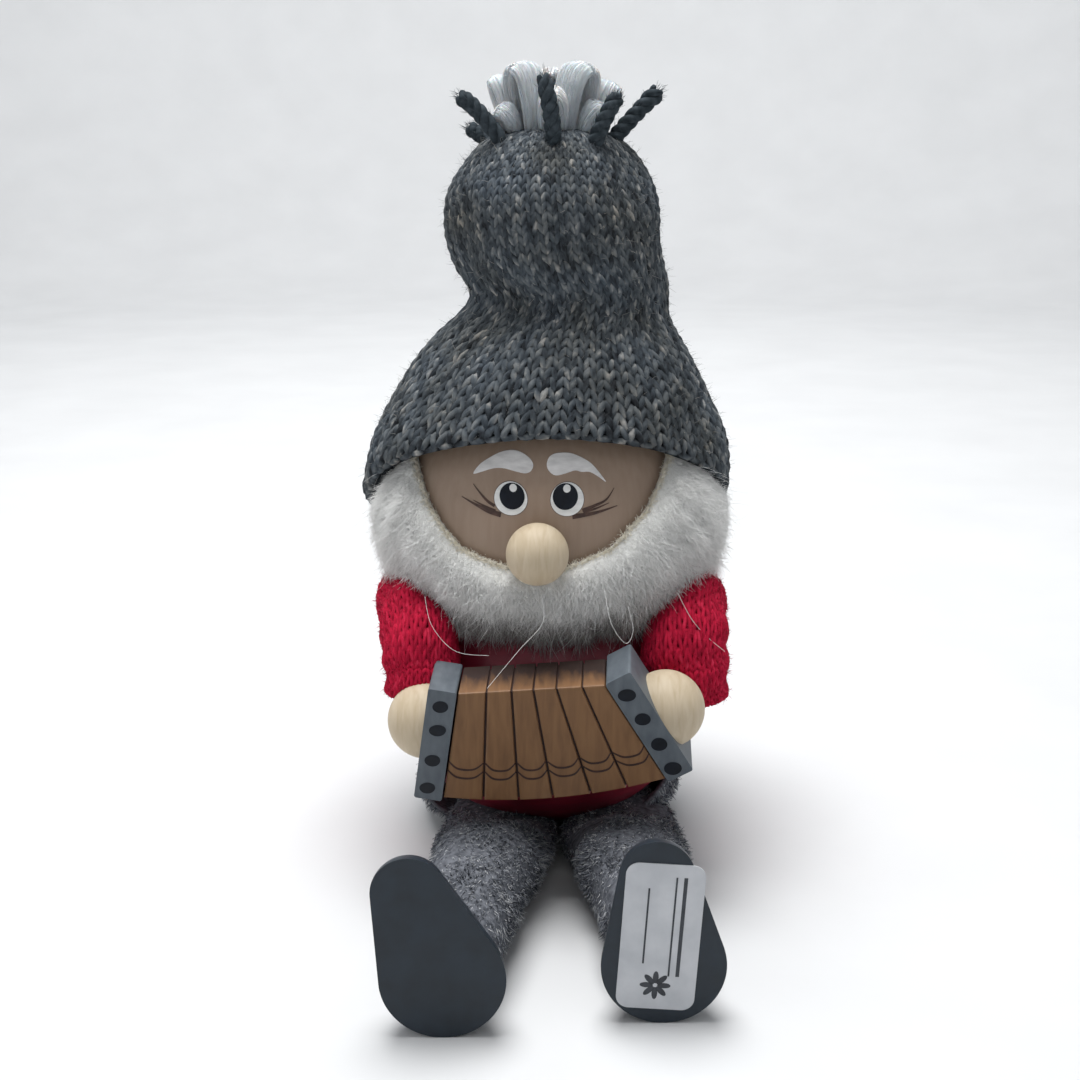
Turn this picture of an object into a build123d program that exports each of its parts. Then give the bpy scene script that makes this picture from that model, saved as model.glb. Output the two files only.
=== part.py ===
from build123d import *
from math import acos, asin, cos, degrees, radians, sin
import os

# A sitting tomte with an accordion: a turned wooden head and body, a knitted hat, a fur beard,
# cloth sleeves and stuffed cloth trousers, wooden hands and half-egg wooden shoes.
# Frame: +Z up, the figure faces -Y, and its own left side is +X. The origin is on the axis of
# the turned body, on the surface that it sits on.

# ---- Turned wooden core ----
HEAD_RADIUS = 33.0
HEAD_HEIGHT = 71.0
BODY_RADIUS = 34.0
BODY_HEIGHT = 35.0
NECK_HEIGHT = 53.0
NECK_RADIUS = 26.5
SHOULDER_POINT = (31.2, 45.5)
BODY_FOOT_HEIGHT = 4.0
DOWEL_RADIUS = 4.0
DOWEL_REACH = 10.0

# ---- Face ----
FACE_X = -2.2
NOSE_RADIUS = 6.0
NOSE_CENTRE = (FACE_X, -36.6, 69.5)
NOSE_PIN_RADIUS = 1.25
NOSE_PIN_REACH = 8.0

# ---- Hat: a knitted crown over the head and a stuffed peak that bends at the crease ----
HAT_WALL = 4.0
HAT_OUTLINE = [(35.6, 46.0), (38.2, 68.0), (36.9, 84.0), (32.4, 92.7), (22.3, 107.0)]
CROWN_TOP = 108.2
CROWN_TOP_RADIUS = 20.0
BRIM_HEIGHT = 72.5
BRIM_TILT = 30.0
PEAK_X = 2.2
PEAK_OUTLINE = [(20.5, 120.5), (21.8, 127.0), (20.8, 136.0), (15.5, 144.5)]
PEAK_UNDERSIDE = [(0.0, 109.3), (7.0, 112.3), (14.0, 116.3)]
PEAK_WALL = 3.0

# ---- Pompom: looped wool roving and the cut ends of thick yarn ----
POMPOM_X = 1.2
POMPOM_RADIUS = 13.6
POMPOM_TOP = 160.0
YARN_RADIUS = 1.9
YARN_ENDS = [
    ((-8.5, -8.5, 143.5), (-17.0, -8.5, 153.5)),
    ((-11.0, 3.0, 143.5), (-15.5, 4.5, 149.0)),
    ((0.7, -11.5, 143.5), (-0.7, -14.5, 157.5)),
    ((8.0, -9.0, 143.5), (12.8, -11.0, 154.0)),
    ((12.0, -1.5, 143.5), (22.5, -2.5, 155.0)),
]

# ---- Beard: a fur collar round the lower face ----
BEARD_RADIUS = 37.5
BEARD_CENTRE = (1.3, -3.0, 68.0)
BEARD_SIDE_BOTTOM = 60.0
BEARD_FRONT_BOTTOM = 53.0
BEARD_FRONT_HALF_WIDTH = 20.0
BEARD_BACK = 6.0
FACE_OPENING_CENTRE = (-1.3, 82.0)
FACE_OPENING_HALF_SIZES = (24.0, 17.0)

# ---- Accordion: a fan of pleats between two end blocks, leaning on the belly ----
ACCORDION_ORIGIN = (0.0, -46.6, 33.0)
ACCORDION_TURN = 3.3
ACCORDION_LEAN = 8.0
ACCORDION_DEPTH = 11.7
END_LENGTH = 24.0
END_WIDTH = 5.4
END_ROUNDING = 0.5
LEFT_END_TOP = (12.8, 16.4)
LEFT_END_ANGLE = 30.7
RIGHT_END_TOP = (-19.9, 13.0)
RIGHT_END_ANGLE = -8.7
BELLOWS_SAG = 2.3
BELLOWS_RECESS = 0.5

# ---- Arms: wooden beads on cords, in cloth sleeves ----
HAND_RADIUS = 7.5
HAND_DEPTH = 7.6
LEFT_HAND_ALONG = 13.6
RIGHT_HAND_ALONG = 11.0
SHOULDER = (33.0, -6.0, 52.0)
ELBOW = (29.0, -25.0, 48.5)
ARM_CORD_RADIUS = 1.2
SLEEVE_STATIONS = [(0.0, 3.2, 6.3), (0.5, 5.0, 7.6), (0.86, 5.6, 7.2)]

# ---- Trousers: a cloth seat under the body and two stuffed legs ----
SEAT_WALL = 2.2
SEAT_TOP = 15.0
SEAT_PAD_RADIUS = 25.0
SEAT_PAD_TOP = 9.0
HIP_FOLD = -16.0
HIP_GAP = 0.3
LEG_CLEARANCE = 0.4
LEG_STATIONS = [(0.0, 13.5, 9.2), (0.3, 13.2, 9.5), (0.65, 10.2, 8.6), (1.0, 7.4, 7.4)]
LEG_WALL = 1.2
LEG_CORD_RADIUS = 1.5
LEG_CORD_START = 5.0
LEG_CORD_HEIGHT = 5.2
ANKLE_HEIGHT = 9.8
ANKLE_REACH = 6.0

# ---- Shoes: half eggs with the flat sole facing forwards ----
HEEL_RADIUS = 10.7
TOE_RADIUS = 6.4
HEEL_TO_TOE = 16.7
LABEL_WIDTH = 13.4
LABEL_LENGTH = 27.0
LABEL_CORNER = 2.2
LABEL_THICKNESS = 0.2
LABEL_CENTRE = (18.6, 16.3)
LABEL_ANGLE = -3.6

# Each side: where its hip, ankle, heel and sole are, and how far its toe turns.
SIDES = {
    "left": {"hip_x": 16.2, "ankle_x": 18.4, "heel_x": 19.3, "sole_y": -86.0, "toe_turn": -5.0},
    "right": {"hip_x": -11.4, "ankle_x": -16.4, "heel_x": -18.0, "sole_y": -90.5, "toe_turn": -18.5},
}

os.makedirs("parts", exist_ok=True)


def finish(piece, name):
    """Label a finished piece and write it to its own file."""
    piece.part.label = name
    export_step(piece.part, f"parts/{name}.step")


def ball(radius, centre, mode=Mode.ADD):
    """Add a sphere to the piece being built, or cut one from it."""
    with Locations(centre):
        Sphere(radius, mode=mode)


# ================= Turned wooden core =================

with BuildPart() as head:
    ball(HEAD_RADIUS, (0, 0, HEAD_HEIGHT))
    split(bisect_by=Plane.XY.offset(NECK_HEIGHT), keep=Keep.TOP)
    with Locations((0, 0, NECK_HEIGHT)):
        Cylinder(DOWEL_RADIUS, 2 * DOWEL_REACH, mode=Mode.SUBTRACT)
    with Locations(NOSE_CENTRE):
        Cylinder(NOSE_PIN_RADIUS, 2 * NOSE_PIN_REACH, rotation=(90, 0, 0), mode=Mode.SUBTRACT)
finish(head, "head")

# The body is drawn as half its outline and turned round its axis.
with BuildPart() as body:
    with BuildSketch(Plane.XZ):
        with BuildLine():
            foot_radius = (BODY_RADIUS**2 - (BODY_HEIGHT - BODY_FOOT_HEIGHT) ** 2) ** 0.5
            foot_angle = degrees(acos(foot_radius / BODY_RADIUS))
            foot_edge = (foot_radius, BODY_FOOT_HEIGHT)
            widest = (BODY_RADIUS, BODY_HEIGHT)
            CenterArc((0, BODY_HEIGHT), BODY_RADIUS, -foot_angle, foot_angle)
            ThreePointArc(widest, SHOULDER_POINT, (NECK_RADIUS, NECK_HEIGHT))
            Polyline((NECK_RADIUS, NECK_HEIGHT), (0, NECK_HEIGHT), (0, BODY_FOOT_HEIGHT), foot_edge)
        make_face()
    revolve(axis=Axis.Z)
    with Locations((0, 0, NECK_HEIGHT)):
        Cylinder(DOWEL_RADIUS, 2 * DOWEL_REACH, mode=Mode.SUBTRACT)
finish(body, "body")

with BuildPart() as neck_dowel:
    with Locations((0, 0, NECK_HEIGHT)):
        Cylinder(DOWEL_RADIUS, 2 * DOWEL_REACH)
finish(neck_dowel, "neck_dowel")

with BuildPart() as nose_pin:
    with Locations(NOSE_CENTRE):
        Cylinder(
            NOSE_PIN_RADIUS,
            NOSE_PIN_REACH,
            rotation=(90, 0, 0),
            align=(Align.CENTER, Align.CENTER, Align.MAX),
        )
finish(nose_pin, "nose_pin")

with BuildPart() as nose:
    ball(NOSE_RADIUS, NOSE_CENTRE)
    ball(HEAD_RADIUS, (0, 0, HEAD_HEIGHT), Mode.SUBTRACT)
    add(nose_pin.part, mode=Mode.SUBTRACT)
finish(nose, "nose")

# ================= Hat =================

brim_plane = Plane(
    origin=(0, 0, BRIM_HEIGHT), x_dir=(1, 0, 0), z_dir=(0, sin(radians(BRIM_TILT)), cos(radians(BRIM_TILT)))
)

with BuildPart() as hat_crown:
    with BuildSketch(Plane.XZ):
        with BuildLine():
            outer = Spline(*HAT_OUTLINE, (CROWN_TOP_RADIUS, CROWN_TOP))
            Polyline(outer @ 1, (0, CROWN_TOP), (0, HAT_OUTLINE[0][1]), outer @ 0)
        make_face()
    revolve(axis=Axis.Z)
    with BuildSketch(Plane.XZ):
        with BuildLine():
            inside = [(radius - HAT_WALL, height) for radius, height in HAT_OUTLINE[:-1]]
            inner = Spline(*inside, (CROWN_TOP_RADIUS - HAT_WALL, CROWN_TOP - HAT_WALL))
            Polyline(inner @ 1, (0, CROWN_TOP - HAT_WALL), (0, HAT_OUTLINE[0][1]), inner @ 0)
        make_face()
    revolve(axis=Axis.Z, mode=Mode.SUBTRACT)
    split(bisect_by=brim_plane, keep=Keep.TOP)
    ball(HEAD_RADIUS, (0, 0, HEAD_HEIGHT), Mode.SUBTRACT)
finish(hat_crown, "hat_crown")

peak_plane = Plane(origin=(PEAK_X, 0, 0), x_dir=(1, 0, 0), z_dir=(0, -1, 0))
peak_axis = Axis((PEAK_X, 0, 0), (0, 0, 1))


def peak_solid(inset):
    """The upright stuffed peak, or what is inside its knitted wall."""
    top = PEAK_OUTLINE[-1][1] - inset
    with BuildPart() as solid:
        with BuildSketch(peak_plane):
            with BuildLine():
                under = [(max(radius - inset, 0), height + inset) for radius, height in PEAK_UNDERSIDE]
                side = [(radius - inset, height) for radius, height in PEAK_OUTLINE[:-1]]
                edge = (PEAK_OUTLINE[-1][0] - inset, top)
                Polyline(*under, (side[0][0], side[0][1] + inset))
                Spline((side[0][0], side[0][1] + inset), *side[1:], edge)
                Polyline(edge, (0, top), (0, under[0][1]))
            make_face()
        revolve(axis=peak_axis)
    return solid


hat_stuffing = peak_solid(PEAK_WALL)
finish(hat_stuffing, "hat_stuffing")

whole_peak = peak_solid(0)
with BuildPart() as hat_peak:
    add(whole_peak.part)
    add(hat_stuffing.part, mode=Mode.SUBTRACT)
finish(hat_peak, "hat_peak")

with BuildPart() as pompom_yarn:
    for root, tip in YARN_ENDS:
        with BuildSketch(Plane(origin=root, z_dir=Vector(*tip) - Vector(*root))):
            Circle(YARN_RADIUS)
        extrude(amount=(Vector(*tip) - Vector(*root)).length)
    split(bisect_by=Plane.XY.offset(PEAK_OUTLINE[-1][1]), keep=Keep.TOP)
finish(pompom_yarn, "pompom_yarn")

with BuildPart() as pompom_roving:
    ball(POMPOM_RADIUS, (POMPOM_X, 0, POMPOM_TOP - POMPOM_RADIUS))
    split(bisect_by=Plane.XY.offset(PEAK_OUTLINE[-1][1]), keep=Keep.TOP)
    add(pompom_yarn.part, mode=Mode.SUBTRACT)
finish(pompom_roving, "pompom_roving")

# ================= Beard =================

with BuildPart() as beard:
    ball(BEARD_RADIUS, BEARD_CENTRE)
    with BuildSketch(Plane.XY.offset(BEARD_SIDE_BOTTOM)):
        Rectangle(4 * BEARD_RADIUS, 4 * BEARD_RADIUS)
        with Locations((0, -2 * BEARD_RADIUS)):
            Rectangle(2 * BEARD_FRONT_HALF_WIDTH, 4 * BEARD_RADIUS, mode=Mode.SUBTRACT)
    extrude(amount=-2 * BEARD_RADIUS, mode=Mode.SUBTRACT)
    split(bisect_by=Plane.XY.offset(BEARD_FRONT_BOTTOM), keep=Keep.TOP)
    split(bisect_by=Plane.XZ.offset(-BEARD_BACK), keep=Keep.TOP)
    split(bisect_by=brim_plane, keep=Keep.BOTTOM)
    with BuildSketch(Plane.XZ):
        with Locations(FACE_OPENING_CENTRE):
            Ellipse(*FACE_OPENING_HALF_SIZES)
    extrude(amount=2 * BEARD_RADIUS, mode=Mode.SUBTRACT)
    ball(HEAD_RADIUS, (0, 0, HEAD_HEIGHT), Mode.SUBTRACT)
    ball(NOSE_RADIUS, NOSE_CENTRE, Mode.SUBTRACT)
    add(body.part, mode=Mode.SUBTRACT)
finish(beard, "beard")

# ================= Accordion =================

turn = radians(ACCORDION_TURN)
lean = radians(ACCORDION_LEAN)
accordion_front = Plane(
    origin=ACCORDION_ORIGIN,
    x_dir=(cos(turn), -sin(turn), 0),
    z_dir=(-sin(turn) * cos(lean), -cos(turn) * cos(lean), -sin(lean)),
)


def end_point(top, angle, across, along):
    """A point of an end block in the front plane, from the middle of the block's top edge."""
    swing = radians(angle)
    return (
        top[0] + across * cos(swing) + along * sin(swing),
        top[1] + across * sin(swing) - along * cos(swing),
    )


def end_block(top, angle):
    """One end block, with softened long edges."""
    with BuildPart() as block:
        with BuildSketch(accordion_front):
            with Locations(end_point(top, angle, 0, END_LENGTH / 2)):
                RectangleRounded(END_WIDTH, END_LENGTH, END_ROUNDING, rotation=angle)
        extrude(amount=-ACCORDION_DEPTH)
    return block


left_accordion_end = end_block(LEFT_END_TOP, LEFT_END_ANGLE)
finish(left_accordion_end, "left_accordion_end")
right_accordion_end = end_block(RIGHT_END_TOP, RIGHT_END_ANGLE)
finish(right_accordion_end, "right_accordion_end")

with BuildPart() as accordion_bellows:
    with BuildSketch(accordion_front.offset(-BELLOWS_RECESS)):
        with BuildLine():
            low = END_LENGTH - END_ROUNDING
            left_top = end_point(LEFT_END_TOP, LEFT_END_ANGLE, -END_WIDTH / 2, END_ROUNDING)
            left_bottom = end_point(LEFT_END_TOP, LEFT_END_ANGLE, -END_WIDTH / 2, low)
            right_top = end_point(RIGHT_END_TOP, RIGHT_END_ANGLE, END_WIDTH / 2, END_ROUNDING)
            right_bottom = end_point(RIGHT_END_TOP, RIGHT_END_ANGLE, END_WIDTH / 2, low)
            Polyline(right_bottom, right_top, left_top, left_bottom)
            SagittaArc(left_bottom, right_bottom, BELLOWS_SAG)
        make_face()
    extrude(amount=-(ACCORDION_DEPTH - 2 * BELLOWS_RECESS))
finish(accordion_bellows, "accordion_bellows")

# ================= Arms =================


def make_arm(side, sign, top, angle, along, block):
    """The hand, its cord and the sleeve of one arm, from the shoulder to the end block."""
    u, v = end_point(top, angle, sign * END_WIDTH / 2, along)
    palm = accordion_front.from_local_coords((u, v, -HAND_DEPTH))
    # The cord and the sleeve are drawn on the left side, and mirrored for the right arm.
    with BuildLine(mode=Mode.PRIVATE) as arm_line:
        ThreePointArc(SHOULDER, ELBOW, (sign * palm.X, palm.Y, palm.Z))
    arm_path = arm_line.line
    with BuildPart() as cord:
        with BuildSketch(Plane(origin=arm_path @ 0, z_dir=arm_path % 0)):
            Circle(ARM_CORD_RADIUS)
        sweep(path=arm_path)
        if sign < 0:
            mirror(about=Plane.YZ, mode=Mode.REPLACE)
        add(block.part, mode=Mode.SUBTRACT)
    with BuildPart() as hand:
        ball(HAND_RADIUS, palm)
        with BuildSketch(accordion_front.offset(2 * HAND_RADIUS)):
            with Locations(end_point(top, angle, sign * (END_WIDTH / 2 - 2 * HAND_RADIUS), along)):
                Rectangle(4 * HAND_RADIUS, 4 * HAND_RADIUS, rotation=angle)
        extrude(amount=-6 * HAND_RADIUS, mode=Mode.SUBTRACT)
        add(cord.part, mode=Mode.SUBTRACT)
    with BuildPart() as sleeve:
        for station, half_thickness, half_width in SLEEVE_STATIONS:
            centre = arm_path @ station
            tangent = arm_path % station
            outwards = Vector(centre.X, centre.Y, 0)
            outwards = outwards - tangent * outwards.dot(tangent)
            with BuildSketch(Plane(origin=centre, x_dir=outwards, z_dir=tangent)):
                Ellipse(half_thickness, half_width)
        loft()
        if sign < 0:
            mirror(about=Plane.YZ, mode=Mode.REPLACE)
        ball(HAND_RADIUS, palm, Mode.SUBTRACT)
        add(block.part, mode=Mode.SUBTRACT)
        add(accordion_bellows.part, mode=Mode.SUBTRACT)
        add(cord.part, mode=Mode.SUBTRACT)
    finish(cord, f"{side}_arm_cord")
    finish(hand, f"{side}_hand")
    finish(sleeve, f"{side}_sleeve")


make_arm("left", 1, LEFT_END_TOP, LEFT_END_ANGLE, LEFT_HAND_ALONG, left_accordion_end)
make_arm("right", -1, RIGHT_END_TOP, RIGHT_END_ANGLE, RIGHT_HAND_ALONG, right_accordion_end)

# ================= Trousers and shoes =================

with BuildPart() as trouser_seat:
    ball(BODY_RADIUS + SEAT_WALL, (0, 0, BODY_HEIGHT))
    Cylinder(SEAT_PAD_RADIUS, SEAT_PAD_TOP, align=(Align.CENTER, Align.CENTER, Align.MIN))
    split(bisect_by=Plane.XY, keep=Keep.TOP)
    split(bisect_by=Plane.XY.offset(SEAT_TOP), keep=Keep.BOTTOM)
    split(bisect_by=Plane.XZ.offset(-HIP_FOLD - HIP_GAP), keep=Keep.BOTTOM)
    add(body.part, mode=Mode.SUBTRACT)
finish(trouser_seat, "trouser_seat")


def leg_solid(side, inset, start_y, end_y):
    """A tapering leg with an oval section, or what is inside its cloth."""
    place = SIDES[side]
    ankle_y = place["sole_y"] + ANKLE_REACH
    with BuildPart() as solid:
        for station, half_width, half_height in LEG_STATIONS:
            y = HIP_FOLD - HIP_GAP + station * (ankle_y - HIP_FOLD + HIP_GAP)
            x = place["hip_x"] + station**1.5 * (place["ankle_x"] - place["hip_x"])
            height = half_height + station**3 * (ANKLE_HEIGHT - LEG_STATIONS[-1][2])
            with BuildSketch(Plane(origin=(x, y, height), x_dir=(1, 0, 0), z_dir=(0, -1, 0))):
                Ellipse(half_width - inset, half_height - inset)
        loft()
        ball(BODY_RADIUS + LEG_CLEARANCE + inset, (0, 0, BODY_HEIGHT), Mode.SUBTRACT)
        split(bisect_by=Plane.XZ.offset(-start_y), keep=Keep.TOP)
        split(bisect_by=Plane.XZ.offset(-end_y), keep=Keep.BOTTOM)
    return solid


def shoe_plane(side):
    """The sole's plane, with its origin at the heel's centre and its Y axis towards the toe."""
    place = SIDES[side]
    swing = radians(place["toe_turn"])
    return Plane(
        origin=(place["heel_x"], place["sole_y"], HEEL_RADIUS),
        x_dir=(cos(swing), 0, -sin(swing)),
        z_dir=(0, -1, 0),
    )


def shoe_solid(side):
    """Half an egg: a wide round heel and a narrow toe, turned round its long axis and cut flat."""
    sole = shoe_plane(side)
    touch = (HEEL_RADIUS - TOE_RADIUS) / HEEL_TO_TOE
    slope = (1 - touch**2) ** 0.5
    touch_angle = degrees(asin(touch))
    with BuildPart() as shoe:
        with BuildSketch(sole):
            with BuildLine():
                heel_bottom = (0, -HEEL_RADIUS)
                heel_side = (HEEL_RADIUS * slope, HEEL_RADIUS * touch)
                toe_side = (TOE_RADIUS * slope, HEEL_TO_TOE + TOE_RADIUS * touch)
                toe_tip = (0, HEEL_TO_TOE + TOE_RADIUS)
                CenterArc((0, 0), HEEL_RADIUS, -90, 90 + touch_angle)
                Line(heel_side, toe_side)
                CenterArc((0, HEEL_TO_TOE), TOE_RADIUS, touch_angle, 90 - touch_angle)
                Line(toe_tip, heel_bottom)
            make_face()
        revolve(axis=Axis(sole.origin, sole.y_dir))
        split(bisect_by=sole, keep=Keep.BOTTOM)
    return shoe


for side, place in SIDES.items():
    hip_y = HIP_FOLD - HIP_GAP
    ankle_y = place["sole_y"] + ANKLE_REACH
    filling_end = place["sole_y"] + HEEL_RADIUS + LEG_WALL
    cord_start = Vector(place["hip_x"], hip_y - LEG_CORD_START, LEG_CORD_HEIGHT)
    cord_end = Vector(place["ankle_x"], ankle_y, ANKLE_HEIGHT)

    with BuildPart() as leg_cord:
        with BuildSketch(Plane(origin=cord_start, z_dir=cord_end - cord_start)):
            Circle(LEG_CORD_RADIUS)
        extrude(amount=(cord_end - cord_start).length)
    finish(leg_cord, f"{side}_leg_cord")

    whole_shoe = shoe_solid(side)
    with BuildPart() as shoe:
        add(whole_shoe.part)
        add(leg_cord.part, mode=Mode.SUBTRACT)
    finish(shoe, f"{side}_shoe")

    whole_filling = leg_solid(side, LEG_WALL, hip_y - LEG_WALL, filling_end)
    with BuildPart() as leg_filling:
        add(whole_filling.part)
        add(leg_cord.part, mode=Mode.SUBTRACT)
    finish(leg_filling, f"{side}_leg_filling")

    whole_leg = leg_solid(side, 0, hip_y, ankle_y)
    with BuildPart() as trouser_leg:
        add(whole_leg.part)
        add(whole_filling.part, mode=Mode.SUBTRACT)
        add(leg_cord.part, mode=Mode.SUBTRACT)
        add(whole_shoe.part, mode=Mode.SUBTRACT)
    finish(trouser_leg, f"{side}_trouser_leg")

label_plane = Plane(origin=(0, SIDES["left"]["sole_y"], 0), x_dir=(1, 0, 0), z_dir=(0, -1, 0))
with BuildPart() as sole_label:
    with BuildSketch(label_plane):
        with Locations(LABEL_CENTRE):
            RectangleRounded(LABEL_WIDTH, LABEL_LENGTH, LABEL_CORNER, rotation=LABEL_ANGLE)
    extrude(amount=LABEL_THICKNESS)
finish(sole_label, "sole_label")
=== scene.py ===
import math

import bpy
import numpy as np
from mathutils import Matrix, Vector
from mathutils.geometry import delaunay_2d_cdt


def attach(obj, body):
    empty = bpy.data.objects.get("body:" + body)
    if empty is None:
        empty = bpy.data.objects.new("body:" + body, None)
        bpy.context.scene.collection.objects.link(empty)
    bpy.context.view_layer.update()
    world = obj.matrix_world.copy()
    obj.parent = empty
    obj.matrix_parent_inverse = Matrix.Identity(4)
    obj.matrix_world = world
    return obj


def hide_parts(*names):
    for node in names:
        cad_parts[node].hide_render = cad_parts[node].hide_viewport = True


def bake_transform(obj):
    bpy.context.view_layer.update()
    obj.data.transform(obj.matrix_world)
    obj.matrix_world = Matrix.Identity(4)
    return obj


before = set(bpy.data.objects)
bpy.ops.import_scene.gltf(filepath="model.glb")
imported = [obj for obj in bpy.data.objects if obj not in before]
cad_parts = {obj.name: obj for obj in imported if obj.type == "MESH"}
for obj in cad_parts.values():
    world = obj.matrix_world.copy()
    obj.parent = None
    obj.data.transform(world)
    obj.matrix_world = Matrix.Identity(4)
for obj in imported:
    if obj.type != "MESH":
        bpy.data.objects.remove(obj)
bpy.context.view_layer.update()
rng = np.random.default_rng(11)
MM = 0.001
HEAD = np.array([0.0, 0.0, 71.0])
HEAD_RADIUS = 33.0


# ---------------------------------------------------------------- helpers

def tone(r, g, b):
    """Linear colour of a screen colour given in 0-255."""
    def lin(c):
        c /= 255
        return c / 12.92 if c <= 0.04045 else ((c + 0.055) / 1.055) ** 2.4
    return (lin(r), lin(g), lin(b), 1.0)


def unit(v):
    return v / np.maximum(np.linalg.norm(v, axis=-1, keepdims=True), 1e-9)


def new_object(name, verts, quads=(), tris=(), smooth=True, marl=None):
    """A mesh object from millimetre vertices. marl is one shade value per vertex."""
    quads, tris = np.reshape(quads, (-1, 4)).astype(np.int32), np.reshape(tris, (-1, 3)).astype(np.int32)
    loops = np.concatenate([quads.ravel(), tris.ravel()])
    sizes = np.concatenate([np.full(len(quads), 4), np.full(len(tris), 3)])
    mesh = bpy.data.meshes.new(name)
    mesh.vertices.add(len(verts))
    mesh.vertices.foreach_set("co", (np.asarray(verts) * MM).astype(np.float32).ravel())
    mesh.loops.add(len(loops))
    mesh.loops.foreach_set("vertex_index", loops)
    mesh.polygons.add(len(sizes))
    mesh.polygons.foreach_set("loop_start", (np.cumsum(sizes) - sizes).astype(np.int32))
    mesh.update(calc_edges=True)
    mesh.polygons.foreach_set("use_smooth", np.full(len(sizes), smooth))
    if marl is not None:
        mesh.attributes.new("marl", "FLOAT", "POINT").data.foreach_set("value", np.asarray(marl, np.float32))
    obj = bpy.data.objects.new(name, mesh)
    bpy.context.scene.collection.objects.link(obj)
    return obj


def dress(obj, material, slot, body=None, blend=None):
    """Gives a piece its material and attaches it to the body it moves with, or with blend only bakes its
    transform in place. slot is not used.
    """
    obj.data.materials.clear()
    obj.data.materials.append(material)
    if blend:
        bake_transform(obj)
    else:
        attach(obj, body)
    return obj


def join(parts):
    """Stacks (verts, quads, tris, marl) tuples into one."""
    verts, quads, tris, marl, base = [], [], [], [], 0
    for v, q, t, m in parts:
        verts.append(v)
        quads.append(np.reshape(q, (-1, 4)) + base)
        tris.append(np.reshape(t, (-1, 3)) + base)
        marl.append(m)
        base += len(v)
    return (np.concatenate(verts), np.concatenate(quads).astype(int),
            np.concatenate(tris).astype(int), np.concatenate(marl))


def grid_faces(rows, columns, wrap):
    """Quads of a rows x columns lattice of vertices, closed around the columns if wrap."""
    i = np.arange(rows - 1)[:, None] * columns
    j = np.arange(columns if wrap else columns - 1)[None, :]
    k = (j + 1) % columns
    return np.stack(np.broadcast_arrays(i + j, i + k, i + columns + k, i + columns + j), -1).reshape(-1, 4)


def tubes(paths, radii, sides=3, marl=None, normals=None, turn=0.0):
    """Closed round-ended tubes along paths (strand, point, xyz)."""
    strands, points, _ = paths.shape
    tangent = unit(np.gradient(paths, axis=1))
    if normals is None:
        least = np.argmin(np.abs(tangent[:, 0]), axis=1)
        n = np.eye(3)[least]
        normals = np.empty_like(paths)
        for k in range(points):
            n = unit(n - (n * tangent[:, k]).sum(-1, keepdims=True) * tangent[:, k])
            normals[:, k] = n
    binormal = unit(np.cross(tangent, normals))
    normals = np.cross(binormal, tangent)
    angle = np.arange(sides) * 2 * math.pi / sides + turn
    ring = (normals[:, :, None] * np.cos(angle)[:, None] + binormal[:, :, None] * np.sin(angle)[:, None])
    rings = paths[:, :, None] + ring * np.broadcast_to(radii, (strands, points))[:, :, None, None]
    end_radii = np.broadcast_to(radii, (strands, points))[:, [0, -1], None]
    tips = paths[:, [0, -1]] + tangent[:, [0, -1]] * (end_radii * np.array([-0.6, 0.6])[:, None])
    size = points * sides + 2
    verts = np.concatenate([rings.reshape(strands, -1, 3), tips], 1).reshape(-1, 3)
    base = (np.arange(strands) * size)[:, None, None]
    quads = (base + grid_faces(points, sides, True)).reshape(-1, 4)
    j = np.arange(sides)
    k = (j + 1) % sides
    head = np.stack([k, j, np.full(sides, points * sides)], -1)
    tail = np.stack([j + (points - 1) * sides, k + (points - 1) * sides,
                     np.full(sides, points * sides + 1)], -1)
    tris = (base + np.concatenate([head, tail])).reshape(-1, 3)
    if marl is None:
        marl = rng.random((strands, 1))
    shade = np.broadcast_to(marl, (strands, points))
    shade = np.concatenate([np.repeat(shade, sides, 1), shade[:, [0, -1]]], 1).ravel()
    return verts, quads, tris, shade


def scatter(grid, count, wrap=False):
    """Random points, normals and lattice coordinates on a lattice surface (row, column, xyz)."""
    if wrap:
        grid = np.concatenate([grid, grid[:, :1]], 1)
    a, b, c = grid[:-1, :-1], grid[:-1, 1:], grid[1:, :-1]
    d = grid[1:, 1:]
    cross = np.cross(b - a, c - a)
    area = np.linalg.norm(cross, axis=-1).ravel()
    pick = rng.choice(len(area), count, p=area / area.sum())
    u, v = rng.random((2, count, 1))
    flat = [g.reshape(-1, 3)[pick] for g in (a, b, c, d)]
    point = (flat[0] * (1 - u) + flat[1] * u) * (1 - v) + (flat[2] * (1 - u) + flat[3] * u) * v
    row, column = np.divmod(pick, grid.shape[1] - 1)
    return point, unit(cross.reshape(-1, 3)[pick]), row + v[:, 0], column + u[:, 0]


def bristles(root, first, last, length, radius, points=4, sides=3, marl=None):
    """Tapering hairs that leave along first and end along last."""
    length = np.broadcast_to(length, (len(root),))[:, None]
    t = np.linspace(0, 1, points)[None, :, None]
    a, c = root[:, None], (unit(first) * length)[:, None]
    e = (unit(last) * length)[:, None]
    paths = a + c * (t - t * t * 0.5) + e * t * t * 0.5
    taper = (1 - 0.75 * np.linspace(0, 1, points) ** 1.5)[None]
    return tubes(paths, np.broadcast_to(radius, (len(root),))[:, None] * taper, sides, marl)


def pieces_of(name, part, material, slot, limit=190000, **where):
    """Objects of at most limit triangles, cut between the strands of equal size that part holds."""
    verts, quads, tris, marl, strands = part
    weight = (len(quads) * 2 + len(tris)) / strands
    per = max(1, int(limit // weight))
    v, q, t = len(verts) // strands, len(quads) // strands, len(tris) // strands
    made = []
    for number, s in enumerate(range(0, strands, per)):
        e = min(strands, s + per)
        label = name if strands <= per else f"{name}_{number + 1}"
        made.append(dress(new_object(label, verts[s * v:e * v], quads[s * q:e * q] - s * v,
                                     tris[s * t:e * t] - s * v, True, marl[s * v:e * v]),
                          material, slot, **where))
    return made


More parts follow.
